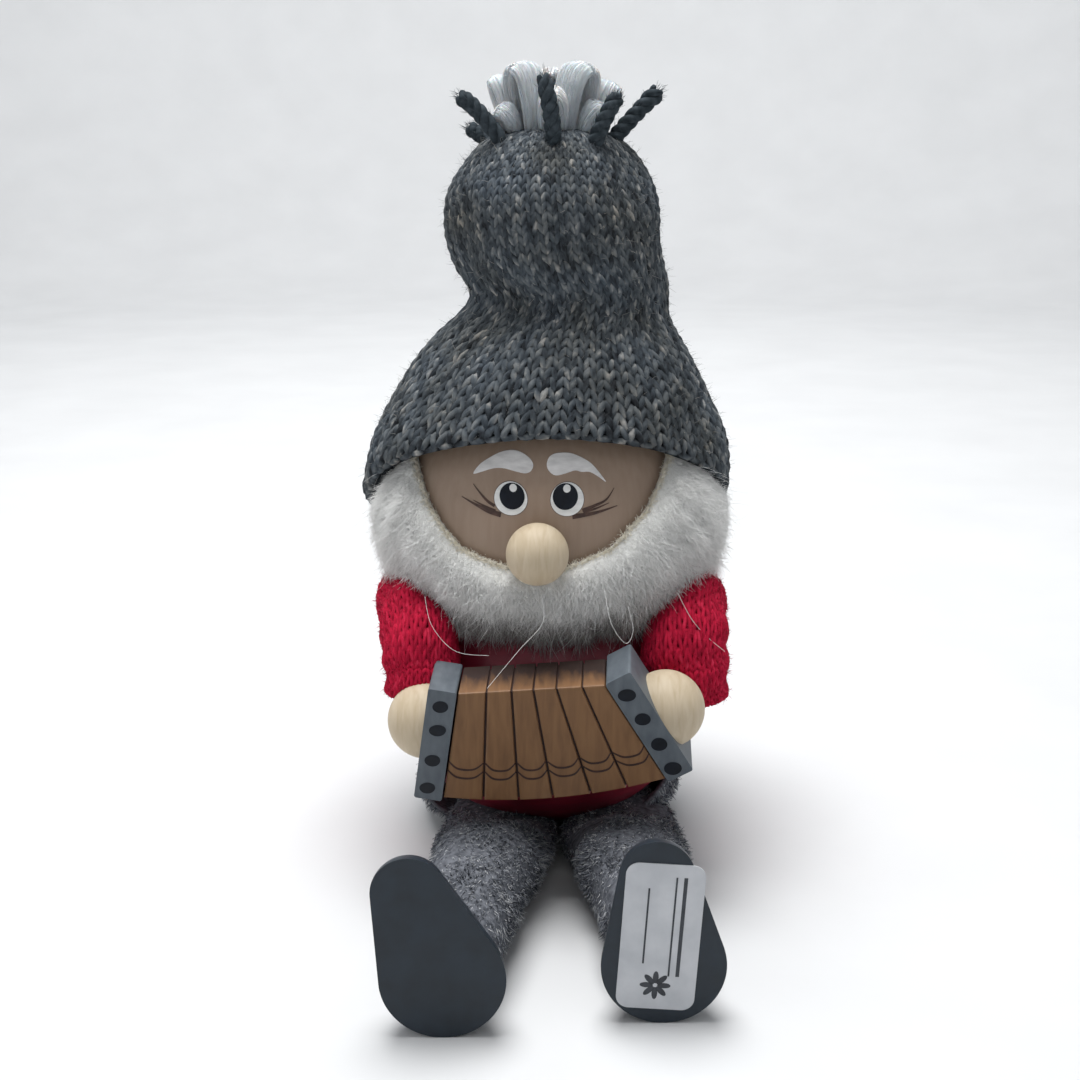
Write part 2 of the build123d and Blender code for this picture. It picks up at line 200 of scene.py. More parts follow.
def noise3(points, scale, seed):
    """Smooth value in about -1..1 at each point, from summed sines."""
    local = np.random.default_rng(seed)
    total = 0
    for _ in range(7):
        k = unit(local.normal(size=3)) * scale * local.uniform(0.6, 1.6)
        total = total + np.sin(points @ k + local.uniform(0, 6.28))
    return total / 3.2


# ---------------------------------------------------------------- materials

def surface(name, stops, scale, stretch=(1, 1, 1), detail=5.0, distortion=0.0, rough=(0.5, 0.7), bump=0.2,
            depth=0.1, attribute=0.0, fine=None, tint=None, **inputs):
    """A procedural material: noise, and the marl attribute if asked, drive colour, roughness and relief.
    scale is in features per millimetre, depth in millimetres."""
    made = bpy.data.materials.new(name)
    made.use_nodes = True
    nodes, link = made.node_tree.nodes, made.node_tree.links.new
    shade = nodes["Principled BSDF"]
    coords, mapping = nodes.new("ShaderNodeTexCoord"), nodes.new("ShaderNodeMapping")
    mapping.inputs["Scale"].default_value = [s * scale / MM for s in stretch]
    noise, ramp = nodes.new("ShaderNodeTexNoise"), nodes.new("ShaderNodeValToRGB")
    noise.inputs["Scale"].default_value = 1.0
    noise.inputs["Detail"].default_value = detail
    noise.inputs["Distortion"].default_value = distortion
    link(coords.outputs["Object"], mapping.inputs["Vector"])
    link(mapping.outputs["Vector"], noise.inputs["Vector"])
    drive = noise.outputs["Fac"]
    if attribute:
        source, mix = nodes.new("ShaderNodeAttribute"), nodes.new("ShaderNodeMix")
        source.attribute_name = "marl"
        mix.inputs["Factor"].default_value = attribute
        link(drive, mix.inputs[2])
        link(source.outputs["Fac"], mix.inputs[3])
        drive = mix.outputs[0]
    link(drive, ramp.inputs["Fac"])
    band = ramp.color_ramp
    band.elements[0].position, band.elements[0].color = stops[0][0], tone(*stops[0][1])
    band.elements[1].position, band.elements[1].color = stops[-1][0], tone(*stops[-1][1])
    for place, colour in stops[1:-1]:
        band.elements.new(place).color = tone(*colour)
    colour = ramp.outputs["Color"]
    if tint:
        patches, blend = nodes.new("ShaderNodeTexNoise"), nodes.new("ShaderNodeMix")
        patches.inputs["Scale"].default_value = tint[1] / MM
        link(coords.outputs["Object"], patches.inputs["Vector"])
        blend.data_type, blend.blend_type = "RGBA", "MULTIPLY"
        link(patches.outputs["Fac"], blend.inputs[0])
        link(colour, blend.inputs[6])
        blend.inputs[7].default_value = tone(*tint[0])
        colour = blend.outputs[2]
    link(colour, shade.inputs["Base Color"])
    spread = nodes.new("ShaderNodeMapRange")
    spread.inputs["To Min"].default_value, spread.inputs["To Max"].default_value = rough
    link(noise.outputs["Fac"], spread.inputs["Value"])
    link(spread.outputs["Result"], shade.inputs["Roughness"])
    relief = nodes.new("ShaderNodeBump")
    relief.inputs["Strength"].default_value = bump
    relief.inputs["Distance"].default_value = depth * MM
    height = noise.outputs["Fac"]
    if fine:
        grain = nodes.new("ShaderNodeTexNoise")
        grain.inputs["Scale"].default_value = fine / MM
        grain.inputs["Detail"].default_value = 3.0
        link(coords.outputs["Object"], grain.inputs["Vector"])
        height = grain.outputs["Fac"]
    link(height, relief.inputs["Height"])
    link(relief.outputs["Normal"], shade.inputs["Normal"])
    for key, value in inputs.items():
        shade.inputs[key.replace("_", " ")].default_value = value
    return made


WOOL = surface("WoolYarn", [(0.2, (40, 45, 52)), (0.42, (74, 84, 95)), (0.62, (108, 117, 126)),
                            (0.85, (176, 180, 184))],
               0.9, attribute=0.7, tint=((226, 206, 178), 0.09), rough=(0.8, 1.0), bump=0.5, depth=0.15,
               fine=3.0, Specular_IOR_Level=0.15)
# painted shade: a much darker copy of the grey yarn, for the shell seen between the stitches
HAT_SHADE_LINING = surface("HatShadeLining", [(0.3, (20, 23, 27)), (0.7, (38, 43, 48))], 0.8, rough=(0.9, 1.0),
                     Specular_IOR_Level=0.1)
DARK_YARN = surface("DarkYarn", [(0.3, (38, 46, 51)), (0.6, (70, 78, 84)), (0.85, (112, 118, 122))], 1.2,
                    attribute=0.6, rough=(0.8, 1.0), bump=0.5, depth=0.15, fine=3.0, Specular_IOR_Level=0.15)
ROVING = surface("Roving", [(0.2, (222, 223, 224)), (0.8, (238, 239, 240))], 0.3, attribute=0.4,
                 rough=(0.85, 1.0),
                 Subsurface_Weight=0.3, Subsurface_Scale=0.003, Specular_IOR_Level=0.1)
# the grey first stop is painted shade, reached by the hair low at the front
FUR = surface("BeardHair", [(0.15, (138, 131, 129)), (0.6, (248, 248, 246)), (0.9, (255, 255, 253))], 0.5,
              attribute=0.85, rough=(0.6, 0.85),
              Specular_IOR_Level=0.3)
FUR_BASE = surface("BeardPile", [(0.3, (226, 226, 222)), (0.7, (250, 250, 247))], 0.9, rough=(0.85, 1.0),
                   bump=0.8,
                   depth=0.5, fine=1.6)
PELT_EDGE = surface("PeltEdge", [(0.3, (236, 228, 208)), (0.7, (253, 249, 238))], 1.2, rough=(0.85, 1.0),
                    bump=0.8,
                    depth=0.3)
RED_YARN = surface("RedYarn", [(0.2, (134, 14, 40)), (0.55, (190, 26, 60)), (0.9, (214, 62, 92))], 0.9,
                   attribute=0.5,
                   rough=(0.8, 1.0), bump=0.5, depth=0.15, fine=3.0, Specular_IOR_Level=0.15)
# painted shade: a much darker copy of the red yarn, for the shell seen between the stitches
RED_SHADE_LINING = surface("RedShadeLining", [(0.3, (60, 6, 16)), (0.7, (100, 10, 26))], 0.8, rough=(0.9, 1.0),
                     Specular_IOR_Level=0.1)
FLEECE = surface("TrouserPile", [(0.15, (66, 70, 78)), (0.5, (132, 136, 144)), (0.9, (212, 213, 214))], 0.35,
                 attribute=0.7, rough=(0.8, 1.0), Specular_IOR_Level=0.15)
FLEECE_BASE = surface("TrouserCloth", [(0.3, (66, 69, 75)), (0.7, (120, 123, 130))], 0.8, rough=(0.9, 1.0),
                      bump=0.8,
                      depth=0.4, Specular_IOR_Level=0.1)
FACE = surface("FacePaint", [(0.25, (150, 129, 112)), (0.5, (155, 134, 117)), (0.8, (160, 140, 123))], 0.16,
               stretch=(5, 5, 0.6), detail=3.0, rough=(0.42, 0.55), bump=0.08, depth=0.05,
               Specular_IOR_Level=0.35)
WOOD = surface("BareWood", [(0.25, (187, 168, 139)), (0.5, (199, 182, 155)), (0.8, (209, 194, 170))], 0.22,
               stretch=(4, 1, 0.7), detail=6.0, distortion=0.6, rough=(0.5, 0.68), bump=0.1, depth=0.05)
RED_PAINT = surface("RedPaint", [(0.3, (122, 24, 44)), (0.7, (148, 34, 56))], 0.2, stretch=(1, 1, 3),
                    rough=(0.3, 0.45),
                    bump=0.06, depth=0.05)
# the dark first stop is painted shade, reached by the back of the bellows through the marl attribute
BELLOWS = surface("BellowsPaint", [(0.15, (52, 35, 30)), (0.42, (122, 86, 53)), (0.58, (138, 100, 64)),
                                   (0.75, (150, 111, 74))], 0.16,
                  stretch=(5, 1, 0.7), attribute=0.5, detail=6.0, distortion=0.5, rough=(0.45, 0.62),
                  bump=0.12, depth=0.06)
BELLOWS_DARK = surface("BellowsGroove", [(0.3, (38, 20, 16)), (0.7, (62, 36, 30))], 0.5, rough=(0.6, 0.8))
END_PAINT = surface("EndPaint", [(0.3, (84, 92, 100)), (0.7, (103, 111, 118))], 0.3, stretch=(2, 1, 0.7),
                    detail=6.0,
                    rough=(0.45, 0.6), bump=0.15, depth=0.06)
NAVY = surface("NavyPaint", [(0.3, (8, 13, 22)), (0.7, (15, 22, 34))], 0.6, rough=(0.35, 0.5),
               Specular_IOR_Level=0.3)
WHITE = surface("WhitePaint", [(0.3, (214, 215, 214)), (0.7, (240, 240, 238))], 0.35, stretch=(1, 1, 3),
                rough=(0.35, 0.5), bump=0.1, depth=0.05)
BROW = surface("BrowPaint", [(0.3, (212, 210, 209)), (0.7, (242, 240, 239))], 0.3, stretch=(1, 1, 3),
               rough=(0.45, 0.6), bump=0.15, depth=0.05)
LASH = surface("LashPaint", [(0.3, (52, 34, 28)), (0.7, (84, 60, 50))], 0.8, rough=(0.4, 0.6))
SHOE = surface("ShoePaint", [(0.3, (23, 33, 42)), (0.7, (32, 43, 54))], 0.25, rough=(0.38, 0.5), bump=0.1,
               depth=0.05,
               fine=1.2, Specular_IOR_Level=0.4)
LABEL = surface("LabelFoil", [(0.3, (184, 187, 192)), (0.7, (204, 206, 210))], 0.2, rough=(0.3, 0.42),
                bump=0.05,
                depth=0.03)
LABEL_INK = surface("LabelInk", [(0.3, (34, 38, 44)), (0.7, (58, 62, 70))], 0.5, rough=(0.4, 0.5))
CORD = surface("CordYarn", [(0.3, (120, 112, 98)), (0.7, (170, 160, 140))], 1.0, rough=(0.8, 0.9))


# ---------------------------------------------------------------- camera, light and floor

CAMERA_ANGLE = math.radians(15)
CAMERA_DISTANCE = 339.0
LOOK_AT = np.array([-1.7, 0.0, 62.5])
camera_data = bpy.data.cameras.new("Camera")
camera_data.lens, camera_data.sensor_width = 53.0, 36.0
camera_data.clip_start = 0.01
camera = bpy.data.objects.new("Camera", camera_data)
camera.location = (LOOK_AT + CAMERA_DISTANCE
                   * np.array([0, -math.cos(CAMERA_ANGLE), math.sin(CAMERA_ANGLE)])) * MM
camera.rotation_euler = (math.pi / 2 - CAMERA_ANGLE, 0, 0)
bpy.context.scene.collection.objects.link(camera)
bpy.context.scene.camera = camera


def softbox(name, place, size, power, aim=(0, 0, 60)):
    light = bpy.data.lights.new(name, "AREA")
    light.shape, light.size, light.energy = "DISK", size, power
    lamp = bpy.data.objects.new(name, light)
    lamp.location = Vector(place) * MM
    lamp.rotation_euler = (Vector(aim) - Vector(place)).to_track_quat("-Z", "Y").to_euler()
    bpy.context.scene.collection.objects.link(lamp)


softbox("Overhead", (-60, 50, 750), 0.5, 6.9)
softbox("Front", (60, -700, 700), 0.6, 0.4)
softbox("Backdrop", (0, 500, 900), 0.6, 6.5, aim=(0, 1400, 500))
softbox("Side", (-700, -250, 330), 0.6, 0.45)
world = bpy.data.worlds.new("Studio")
world.use_nodes = True
world.node_tree.nodes["Background"].inputs["Color"].default_value = (0.93, 0.96, 1.0, 1)
world.node_tree.nodes["Background"].inputs["Strength"].default_value = 0.31
bpy.context.scene.world = world
bpy.context.scene.view_settings.view_transform = "Standard"

bend = np.radians(np.linspace(0, 90, 13))
profile = np.array([(0.5, 0), (500, 0), (1000, 0)]
                   + [(1000 + 400 * math.sin(a), 400 - 400 * math.cos(a)) for a in bend[1:]]
                   + [(1400, 1500)])
circle = np.arange(96) * 2 * math.pi / 96
backdrop = np.stack([np.outer(profile[:, 0], np.sin(circle)), np.outer(profile[:, 0], np.cos(circle)),
                     np.outer(profile[:, 1], np.ones(96))], -1)
FLOOR = surface("Floor", [(0.3, (218, 219, 220)), (0.7, (223, 224, 225))], 0.02, rough=(0.8, 0.9), bump=0.02)
floor = new_object("Floor", backdrop.reshape(-1, 3), grid_faces(len(profile), 96, True))
floor.data.materials.append(FLOOR)


# ---------------------------------------------------------------- knitting

def knit(name, place, rows, columns, row_range, yarn, depth, material, slot, samples=12, sides=6, spread=0.27,
         seed=0, per=None, **where):
    """Stockinette courses as continuous yarn. place(row, column, lift) gives the point on the fabric."""
    local = np.random.default_rng(seed)
    courses = np.arange(*row_range)
    stitch = np.arange(columns * samples)
    t = stitch % samples * 2 * math.pi / samples
    column = stitch // samples
    parts = []
    for i in courses:
        jitter = local.normal(0, 0.028, (3, columns + 1))[:, column]
        x = column + t / (2 * math.pi) + spread * np.sin(2 * t) + jitter[0]
        y = i + 0.5 + (0.86 + jitter[1]) * np.cos(t)
        lift = -depth(i) * np.cos(2 * t) + jitter[2]
        path = place(np.clip(y, 0, rows), x, lift)
        out = place(np.clip(y, 0, rows), x, lift + 1) - path
        tangent = unit(np.roll(path, -1, 0) - np.roll(path, 1, 0))
        binormal = unit(np.cross(tangent, out))
        normal = np.cross(binormal, tangent)
        radius = (yarn(i) * (1 + local.normal(0, 0.05, columns + 1)[column]))[:, None, None]
        radius = radius * (1 + 0.07 * np.sin(stitch * 2.3)[:, None, None])
        angle = np.arange(sides) * 2 * math.pi / sides
        ring = path[:, None] + radius * (normal[:, None] * np.cos(angle)[:, None]
                                         + binormal[:, None] * np.sin(angle)[:, None])
        count = len(stitch)
        k = np.arange(count)[:, None] * sides
        nxt = (np.arange(count)[:, None] + 1) % count * sides
        j = np.arange(sides)[None]
        m = (j + 1) % sides
        quads = np.stack(np.broadcast_arrays(k + j, k + m, nxt + m, nxt + j), -1).reshape(-1, 4)
        ply = stitch[:, None] * 0.83 + angle[None] + local.uniform(0, 2 * math.pi)
        streak = local.random(columns * 5 + 7)[(stitch // max(1, samples // 5)) % (columns * 5)]
        shade = np.clip(0.45 + 0.2 * np.sin(ply) + 0.4 * (streak[:, None] - 0.5) ** 3 * 4
                        + 0.15 * (streak[:, None] - 0.5) + local.normal(0, 0.1, ply.shape), 0, 1)
        parts.append((ring.reshape(-1, 3), quads, np.zeros((0, 3), int), shade.ravel()))
    per = per or len(parts)
    made = []
    for number, s in enumerate(range(0, len(parts), per)):
        verts, quads, tris, shade = join(parts[s:s + per])
        label = name if per >= len(parts) else f"{name}_{number + 1}"
        made.append(dress(new_object(label, verts, quads, tris, True, shade), material, slot, **where))
    return made


def lining(name, place, rows, columns, outer, inner, material, slot, steps=60, around=136, **where):
    """A closed cloth shell between two lifts, behind the stitches; its dark colour is painted shade seen
    between them.
    """
    row = np.linspace(0, rows, steps)
    row, column = np.meshgrid(np.concatenate([row, row[::-1]]), np.arange(around) * columns / around,
                              indexing="ij")
    lift = np.concatenate([np.full(steps, outer), np.full(steps, inner)])[:, None] + 0 * row
    verts = place(row.ravel(), column.ravel(), lift.ravel())
    faces = np.concatenate([grid_faces(2 * steps, around, True),
                            np.stack([np.arange(around), (2 * steps - 1) * around + np.arange(around),
                                      (2 * steps - 1) * around + (np.arange(around) + 1) % around,
                                      (np.arange(around) + 1) % around], -1)])
    return dress(new_object(name, verts, faces), material, slot, **where)


# hat: knitted tube, pulled in above the head and gathered at the top
HAT_PROFILE = np.array([  # height, radius, centre x
    (44, 34.6, 0), (52, 36.0, 0), (60, 37.0, -0.1), (71, 37.5, -0.3), (78, 37.1, -0.4), (84, 36.2, -0.4),
    (88.5, 34.6, -0.2), (92.7, 32.4, 0.3), (96.5, 30.5, 0.9), (100.5, 28.2, 1.4), (104.5, 25.5, 1.9),
                        (107.5, 23.0, 2.4),
    (110.0, 20.9, 3.2), (112.5, 19.5, 4.1), (115.0, 19.2, 4.4), (117.5, 19.8, 3.9), (120.5, 20.5, 2.6),
                        (125.5, 20.9, 1.4),
    (131, 21.0, 0.8), (136, 19.9, 0.3), (140.5, 17.4, 0.4), (144, 14.5, 0.6), (146.2, 11.0, 0.8),
                        (147.0, 7.5, 1.0),
    (147.2, 4.5, 1.2)], float)
BRIM_HEIGHT, BRIM_SLOPE = 72.5, math.tan(math.radians(30))
HAT_ROWS, HAT_COLUMNS = 37, 68
fine = np.linspace(0, len(HAT_PROFILE) - 1, 600)


def smooth_curve(points, at):
    """Catmull-Rom through points at fractional positions."""
    last = len(points) - 1
    i = np.clip(np.floor(at).astype(int), 0, last - 1)
    f = (at - i)[:, None]
    p = [points[np.clip(i + k, 0, last)] for k in (-1, 0, 1, 2)]
    return 0.5 * (2 * p[1] + (p[2] - p[0]) * f + (2 * p[0] - 5 * p[1] + 4 * p[2] - p[3]) * f ** 2
                  + (3 * p[1] - p[0] - 3 * p[2] + p[3]) * f ** 3)


hat_line = smooth_curve(HAT_PROFILE, fine)
hat_arc = np.concatenate([[0], np.cumsum(np.linalg.norm(np.diff(hat_line[:, :2], axis=0), axis=1))])
hat_slope = np.gradient(hat_line[:, :2], hat_arc, axis=0)


def hat_brim_arc(angle):
    height = hat_line[:, 0][None] - BRIM_HEIGHT - BRIM_SLOPE * hat_line[:, 1][None] * np.cos(angle)[:, None]
    return hat_arc[np.argmax(height > 0, axis=1)]


brim_angles = np.radians(np.arange(0, 361))
brim_arcs = np.array([hat_brim_arc(np.array([a]))[0] for a in brim_angles])
brim_arcs = np.convolve(np.concatenate([brim_arcs[-6:-1], brim_arcs, brim_arcs[1:6]]), np.ones(11) / 11,
                        "valid")


def hat_place(row, column, lift):
    angle = column / HAT_COLUMNS * 2 * math.pi
    start = np.interp(angle % (2 * math.pi), brim_angles, brim_arcs)
    u = row / HAT_ROWS
    arc = start + (hat_arc[-1] - start) * (1.22 * u - 0.22 * u * u)
    height, radius, centre = (np.interp(arc, hat_arc, hat_line[:, k]) for k in range(3))
    rise, run = (np.interp(arc, hat_arc, hat_slope[:, k]) for k in range(2))
    around = np.stack([np.sin(angle), -np.cos(angle)], -1)
    flat = np.stack([centre + 0 * angle, 0 * angle, height], -1)
    dent = 0.45 * np.sin(3 * angle + height * 0.11) + 0.35 * np.sin(5 * angle - height * 0.23 + 1.0)
    fold = np.exp(-((height - 113.5) / 5) ** 2) * 0.5 * np.sin(4 * angle + 0.8)
    grow = (radius + dent * np.clip((radius - 8) / 12, 0, 1) + fold)[:, None]
    point = flat + np.concatenate([around * grow, np.zeros((len(angle), 1))], 1)
    length = np.hypot(rise, run) + 1e-9
    out = np.concatenate([around * (rise / length)[:, None], (-run / length)[:, None]], 1)
    return point + out * np.asarray(lift)[:, None]


HAT_BEND = ("torso", "hat_tip", (0, 0, 0.104), (0, 0, 0.121))
row_radius = np.array([np.interp(hat_arc[-1] - (hat_arc[-1] - brim_arcs[0])
                                 * (1 - (1.22 * u - 0.22 * u * u)), hat_arc,
                                 hat_line[:, 1]) for u in (np.arange(HAT_ROWS) + 0.5) / HAT_ROWS])


def hat_yarn(course):
    """Radius of a course's yarn: thick where the hat is wide, thin where it is gathered."""
    return min(0.70, 0.27 * 2 * math.pi * row_radius[course] / HAT_COLUMNS + 0.06)


def hat_depth(course):
    """How far the yarn of a course swings in front of and behind the fabric's middle."""
    return 0.62 * hat_yarn(course)


hat_pieces = knit("HatKnit", hat_place, HAT_ROWS, HAT_COLUMNS, (0, HAT_ROWS - 2), hat_yarn, hat_depth, WOOL,
                  "hat_knit", seed=3, per=9, blend=HAT_BEND)
hat_pieces.append(lining("HatShadeLining", hat_place, HAT_ROWS, HAT_COLUMNS, -0.55, -2.2, HAT_SHADE_LINING, "hat_knit",
                         steps=70, blend=HAT_BEND))
rows_, cols_ = np.meshgrid(np.linspace(0.2, HAT_ROWS - 3, 90), np.arange(136) * 0.5, indexing="ij")
hat_grid = hat_place(rows_.ravel(), cols_.ravel(), np.full(rows_.size, 0.45)).reshape(90, 136, 3)
root, out, _, _ = scatter(hat_grid, 5200, wrap=True)
first = out + rng.normal(0, 0.9, out.shape)
last = first + rng.normal(0, 1.1, out.shape)
fuzz = bristles(root, first, last, rng.uniform(0.8, 2.6, len(root)), 0.035, 5,
                marl=rng.uniform(0.4, 1, (len(root), 1)))
hat_pieces += pieces_of("HatFuzz", (*fuzz, len(root)), WOOL, "hat_knit", blend=HAT_BEND)
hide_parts("hat_crown", "hat_peak", "hat_stuffing")

# ---------------------------------------------------------------- pompom

# foot x, foot y, crown x, crown y, top height, reach along the loop, half width, half thickness
ROVING_LOOPS = [
    (-3.6, -4.0, -5.2, -5.0, 158.7, 4.4, 3.5, 1.5), (4.0, -3.5, 6.2, -4.5, 158.7, 4.6, 3.7, 1.5),
    (0.8, -5.0, 0.8, -8.0, 154.0, 3.6, 3.4, 1.3), (-6.5, 0.0, -10.2, -2.5, 156.6, 3.0, 1.9, 1.1),
    (7.5, 0.0, 12.0, -2.5, 155.4, 3.2, 2.6, 1.2), (-5.5, -3.0, -9.0, -6.5, 151.0, 2.6, 2.2, 1.1),
    (6.0, -4.0, 9.6, -7.0, 151.5, 2.6, 2.4, 1.1), (-5.5, 4.5, -8.5, 6.0, 155.5, 3.6, 2.4, 1.3),
    (1.0, 3.5, 0.6, 3.5, 158.0, 4.2, 2.9, 1.4), (5.5, 4.5, 8.5, 6.5, 155.8, 3.6, 2.6, 1.3),
    (0.5, 6.0, 0.5, 10.0, 152.0, 3.2, 2.8, 1.2), (-2.0, -2.0, -3.5, -1.5, 156.5, 3.4, 2.4, 1.3),
]
POMPOM_FOOT = 143.6
POMPOM_STRAYS = 2600


def arch(loop, points=26):
    """Centre line, width and thickness directions of one loop of roving."""
    foot_x, foot_y, crown_x, crown_y, top, reach, _, _ = loop
    t = np.linspace(0, 1, points)
    swell = np.sin(math.pi * t)
    away = unit(np.array([crown_x - 1.0, crown_y * 1.2]) + 1e-3)
    along = np.array([-away[1], away[0]])
    across = (t - 0.5) * 2
    swing = reach * np.sign(across) * np.abs(across) ** 0.8 * (0.35 + 0.75 * swell)
    flat = (np.outer(1 - swell ** 0.8, (foot_x, foot_y)) + np.outer(swell ** 0.8, (crown_x, crown_y))
            + np.outer(swing, along))
    path = np.column_stack([flat, POMPOM_FOOT + (top - POMPOM_FOOT) * swell ** 0.75])
    tangent = unit(np.gradient(path, axis=0))
    wide = unit(np.cross(tangent, np.append(along, 0)[None]))
    side = unit(np.cross(tangent, wide))
    return path, side, wide, tangent


cores, strands = [], []
for loop in ROVING_LOOPS:
    path, side, wide, tangent = arch(loop)
    half_w, half_t = loop[6:]
    pinch = 0.55 + 0.45 * np.sin(math.pi * np.linspace(0, 1, len(path))) ** 0.6
    count = int(95 * half_w)
    angle = rng.uniform(0, 2 * math.pi, count)
    depth_ = rng.uniform(0.8, 1.06, count)
    drift = rng.normal(0, 0.45, (count, 1)) * np.sin(np.linspace(0, 3.1, len(path)))[None]
    a = (angle[:, None] + drift)
    off = (np.cos(a) * depth_[:, None] * pinch)[..., None] * half_w * wide[None] \
        + (np.sin(a) * depth_[:, None] * pinch)[..., None] * half_t * side[None]
    strands.append(path[None] + off)
    ring = np.linspace(0, 2 * math.pi, 14, endpoint=False)
    verts = path[:, None] + pinch[:, None, None] * 0.97 * (
        np.cos(ring)[None, :, None] * half_w * wide[:, None]
        + np.sin(ring)[None, :, None] * half_t * side[:, None])
    ends = np.stack([path[0], path[-1]])
    base = verts.shape[0] * 14
    k = np.arange(14)
    caps = np.concatenate([np.stack([(k + 1) % 14, k, np.full(14, base)], -1),
                           np.stack([base - 14 + k, base - 14 + (k + 1) % 14, np.full(14, base + 1)], -1)])
    cores.append((np.concatenate([verts.reshape(-1, 3), ends]), grid_faces(len(path), 14, True), caps,
                  np.full(base + 2, 0.4)))
verts, quads, tris, marl = join(cores)
pompom_core = dress(new_object("PompomRoving", verts, quads, tris, True, marl), ROVING, "wool_roving",
                    "hat_tip")
strands = np.concatenate(strands)
hairs = tubes(strands, np.full(strands.shape[:2], 0.065), 3)
pieces_of("PompomStrands", (*hairs, len(strands)), ROVING, "wool_roving", body="hat_tip")
pick = rng.integers(0, len(strands), POMPOM_STRAYS), rng.integers(3, 23, POMPOM_STRAYS)
stray = unit(rng.normal(0, 1, (POMPOM_STRAYS, 3)) + (0, 0, 0.4))
hairs = bristles(strands[pick], stray, unit(stray + rng.normal(0, 0.8, (POMPOM_STRAYS, 3))),
                 rng.uniform(0.5, 1.6, POMPOM_STRAYS), 0.03, 4)
pieces_of("PompomFuzz", (*hairs, POMPOM_STRAYS), ROVING, "wool_roving", body="hat_tip")
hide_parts("pompom_roving")

YARN_PATHS = [  # root, middle, tip, thickness, flare of the cut end
    ((-7.5, -8.5, 142.8), (-13.2, -9.4, 150.2), (-17.2, -9.0, 153.4), 1.0, 0.2),
    ((-8.5, 1.0, 142.8), (-13.0, 3.0, 145.6), (-15.8, 4.2, 147.6), 0.95, 0.3),
    ((0.8, -10.8, 142.4), (0.6, -14.6, 148.8), (-1.1, -14.4, 157.3), 1.0, 0.1),
    ((8.0, -9.5, 142.6), (10.6, -11.8, 149.0), (13.2, -11.2, 153.6), 1.0, 0.25),
    ((10.8, -2.0, 142.8), (15.6, -3.6, 148.6), (21.6, -3.2, 154.6), 1.0, 0.9),
]
plies, frays = [], []
for number, (root, middle, tip, thick, flare) in enumerate(YARN_PATHS):
    t = np.linspace(0, 1, 40)[:, None]
    root, middle, tip = (np.array(p, float) for p in (root, middle, tip))
    line = root * (1 - t) ** 2 + (2 * middle - 0.5 * root - 0.5 * tip) * 2 * t * (1 - t) + tip * t ** 2
    tangent = unit(np.gradient(line, axis=0))
    one = unit(np.cross(tangent, (0.2, 1.0, 0.1)))
    two = np.cross(tangent, one)
    length = np.linalg.norm(np.diff(line, axis=0), axis=1).sum()
    for ply in range(3):
        turn = 2 * math.pi * (t * length / 6.5 + ply / 3 + number * 0.13)
        spread_ = thick * (0.78 + flare * np.clip(t - 0.75, 0, 1) * 2)
        path = line + spread_ * (np.cos(turn) * one + np.sin(turn) * two)
        radius = thick * (0.92 - 0.45 * np.clip((t[:, 0] - 0.86) / 0.14, 0, 1) ** 2)
        plies.append(tubes(path[None], radius[None], 10, marl=rng.random((1, 40)) * 0.4 + 0.2))
    count = int(16 + 150 * flare)
    pick = rng.integers(28, 40, count)
    aim = unit(tangent[pick] + rng.normal(0, 0.25 + 0.35 * flare, (count, 3)))
    frays.append((line[pick] + rng.normal(0, 0.45, (count, 3)), aim,
                  unit(aim + rng.normal(0, 0.3, (count, 3)))))
    pick = rng.integers(2, 40, 110)
    aim = unit(rng.normal(0, 1, (110, 3)))
    frays.append((line[pick] + aim * thick * 1.2, unit(aim + tangent[pick]), unit(tangent[pick] + aim * 0.6)))
verts, quads, tris, marl = join(plies)
yarn_ends = dress(new_object("PompomYarnEnds", verts, quads, tris, True, marl), DARK_YARN, "hat_yarn",
                  "hat_tip")
root, aim, end = (np.concatenate([f[k] for f in frays]) for k in range(3))
hairs = bristles(root, aim, end, rng.uniform(0.7, 1.9, len(root)), 0.06, 3, 3)
pieces_of("PompomYarnFrays", (*hairs, len(root)), DARK_YARN, "hat_yarn", body="hat_tip")
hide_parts("pompom_yarn")

# ---------------------------------------------------------------- beard

INNER_EDGE = np.array([(-72, 30), (-60.3, 25.0), (-50.7, 15.6), (-42.5, 6.4), (-30.3, -4.4), (-16.2, -8.6),
                       (-5, -9.9),
                       (5.4, -9.2), (20.5, -3.2), (35, 8.6), (42.7, 17.4), (51, 25.6), (62, 30)], float)
OUTER_EDGE = np.array([(-106, -14), (-90, -18), (-75, -21), (-55, -25), (-40, -29), (-20, -31.5), (0, -32),
                       (20, -31.5),
                       (40, -28.5), (55, -23), (75, -17.5), (90, -14.5), (106, -12)], float)
BEARD_TURN = 104
PELT_AROUND, PELT_STEPS = 190, 44
BEARD_HAIRS, LOOSE_HAIRS = 60000, 420
EDGE_POINTS, EDGE_STUBBLE = 330, 5200


def on_head(azimuth, elevation, radius):
    a, e = np.radians(azimuth), np.radians(elevation)
    return HEAD + np.stack([np.sin(a) * np.cos(e), -np.cos(a) * np.cos(e), np.sin(e)],
                           -1) * np.asarray(radius)[..., None]


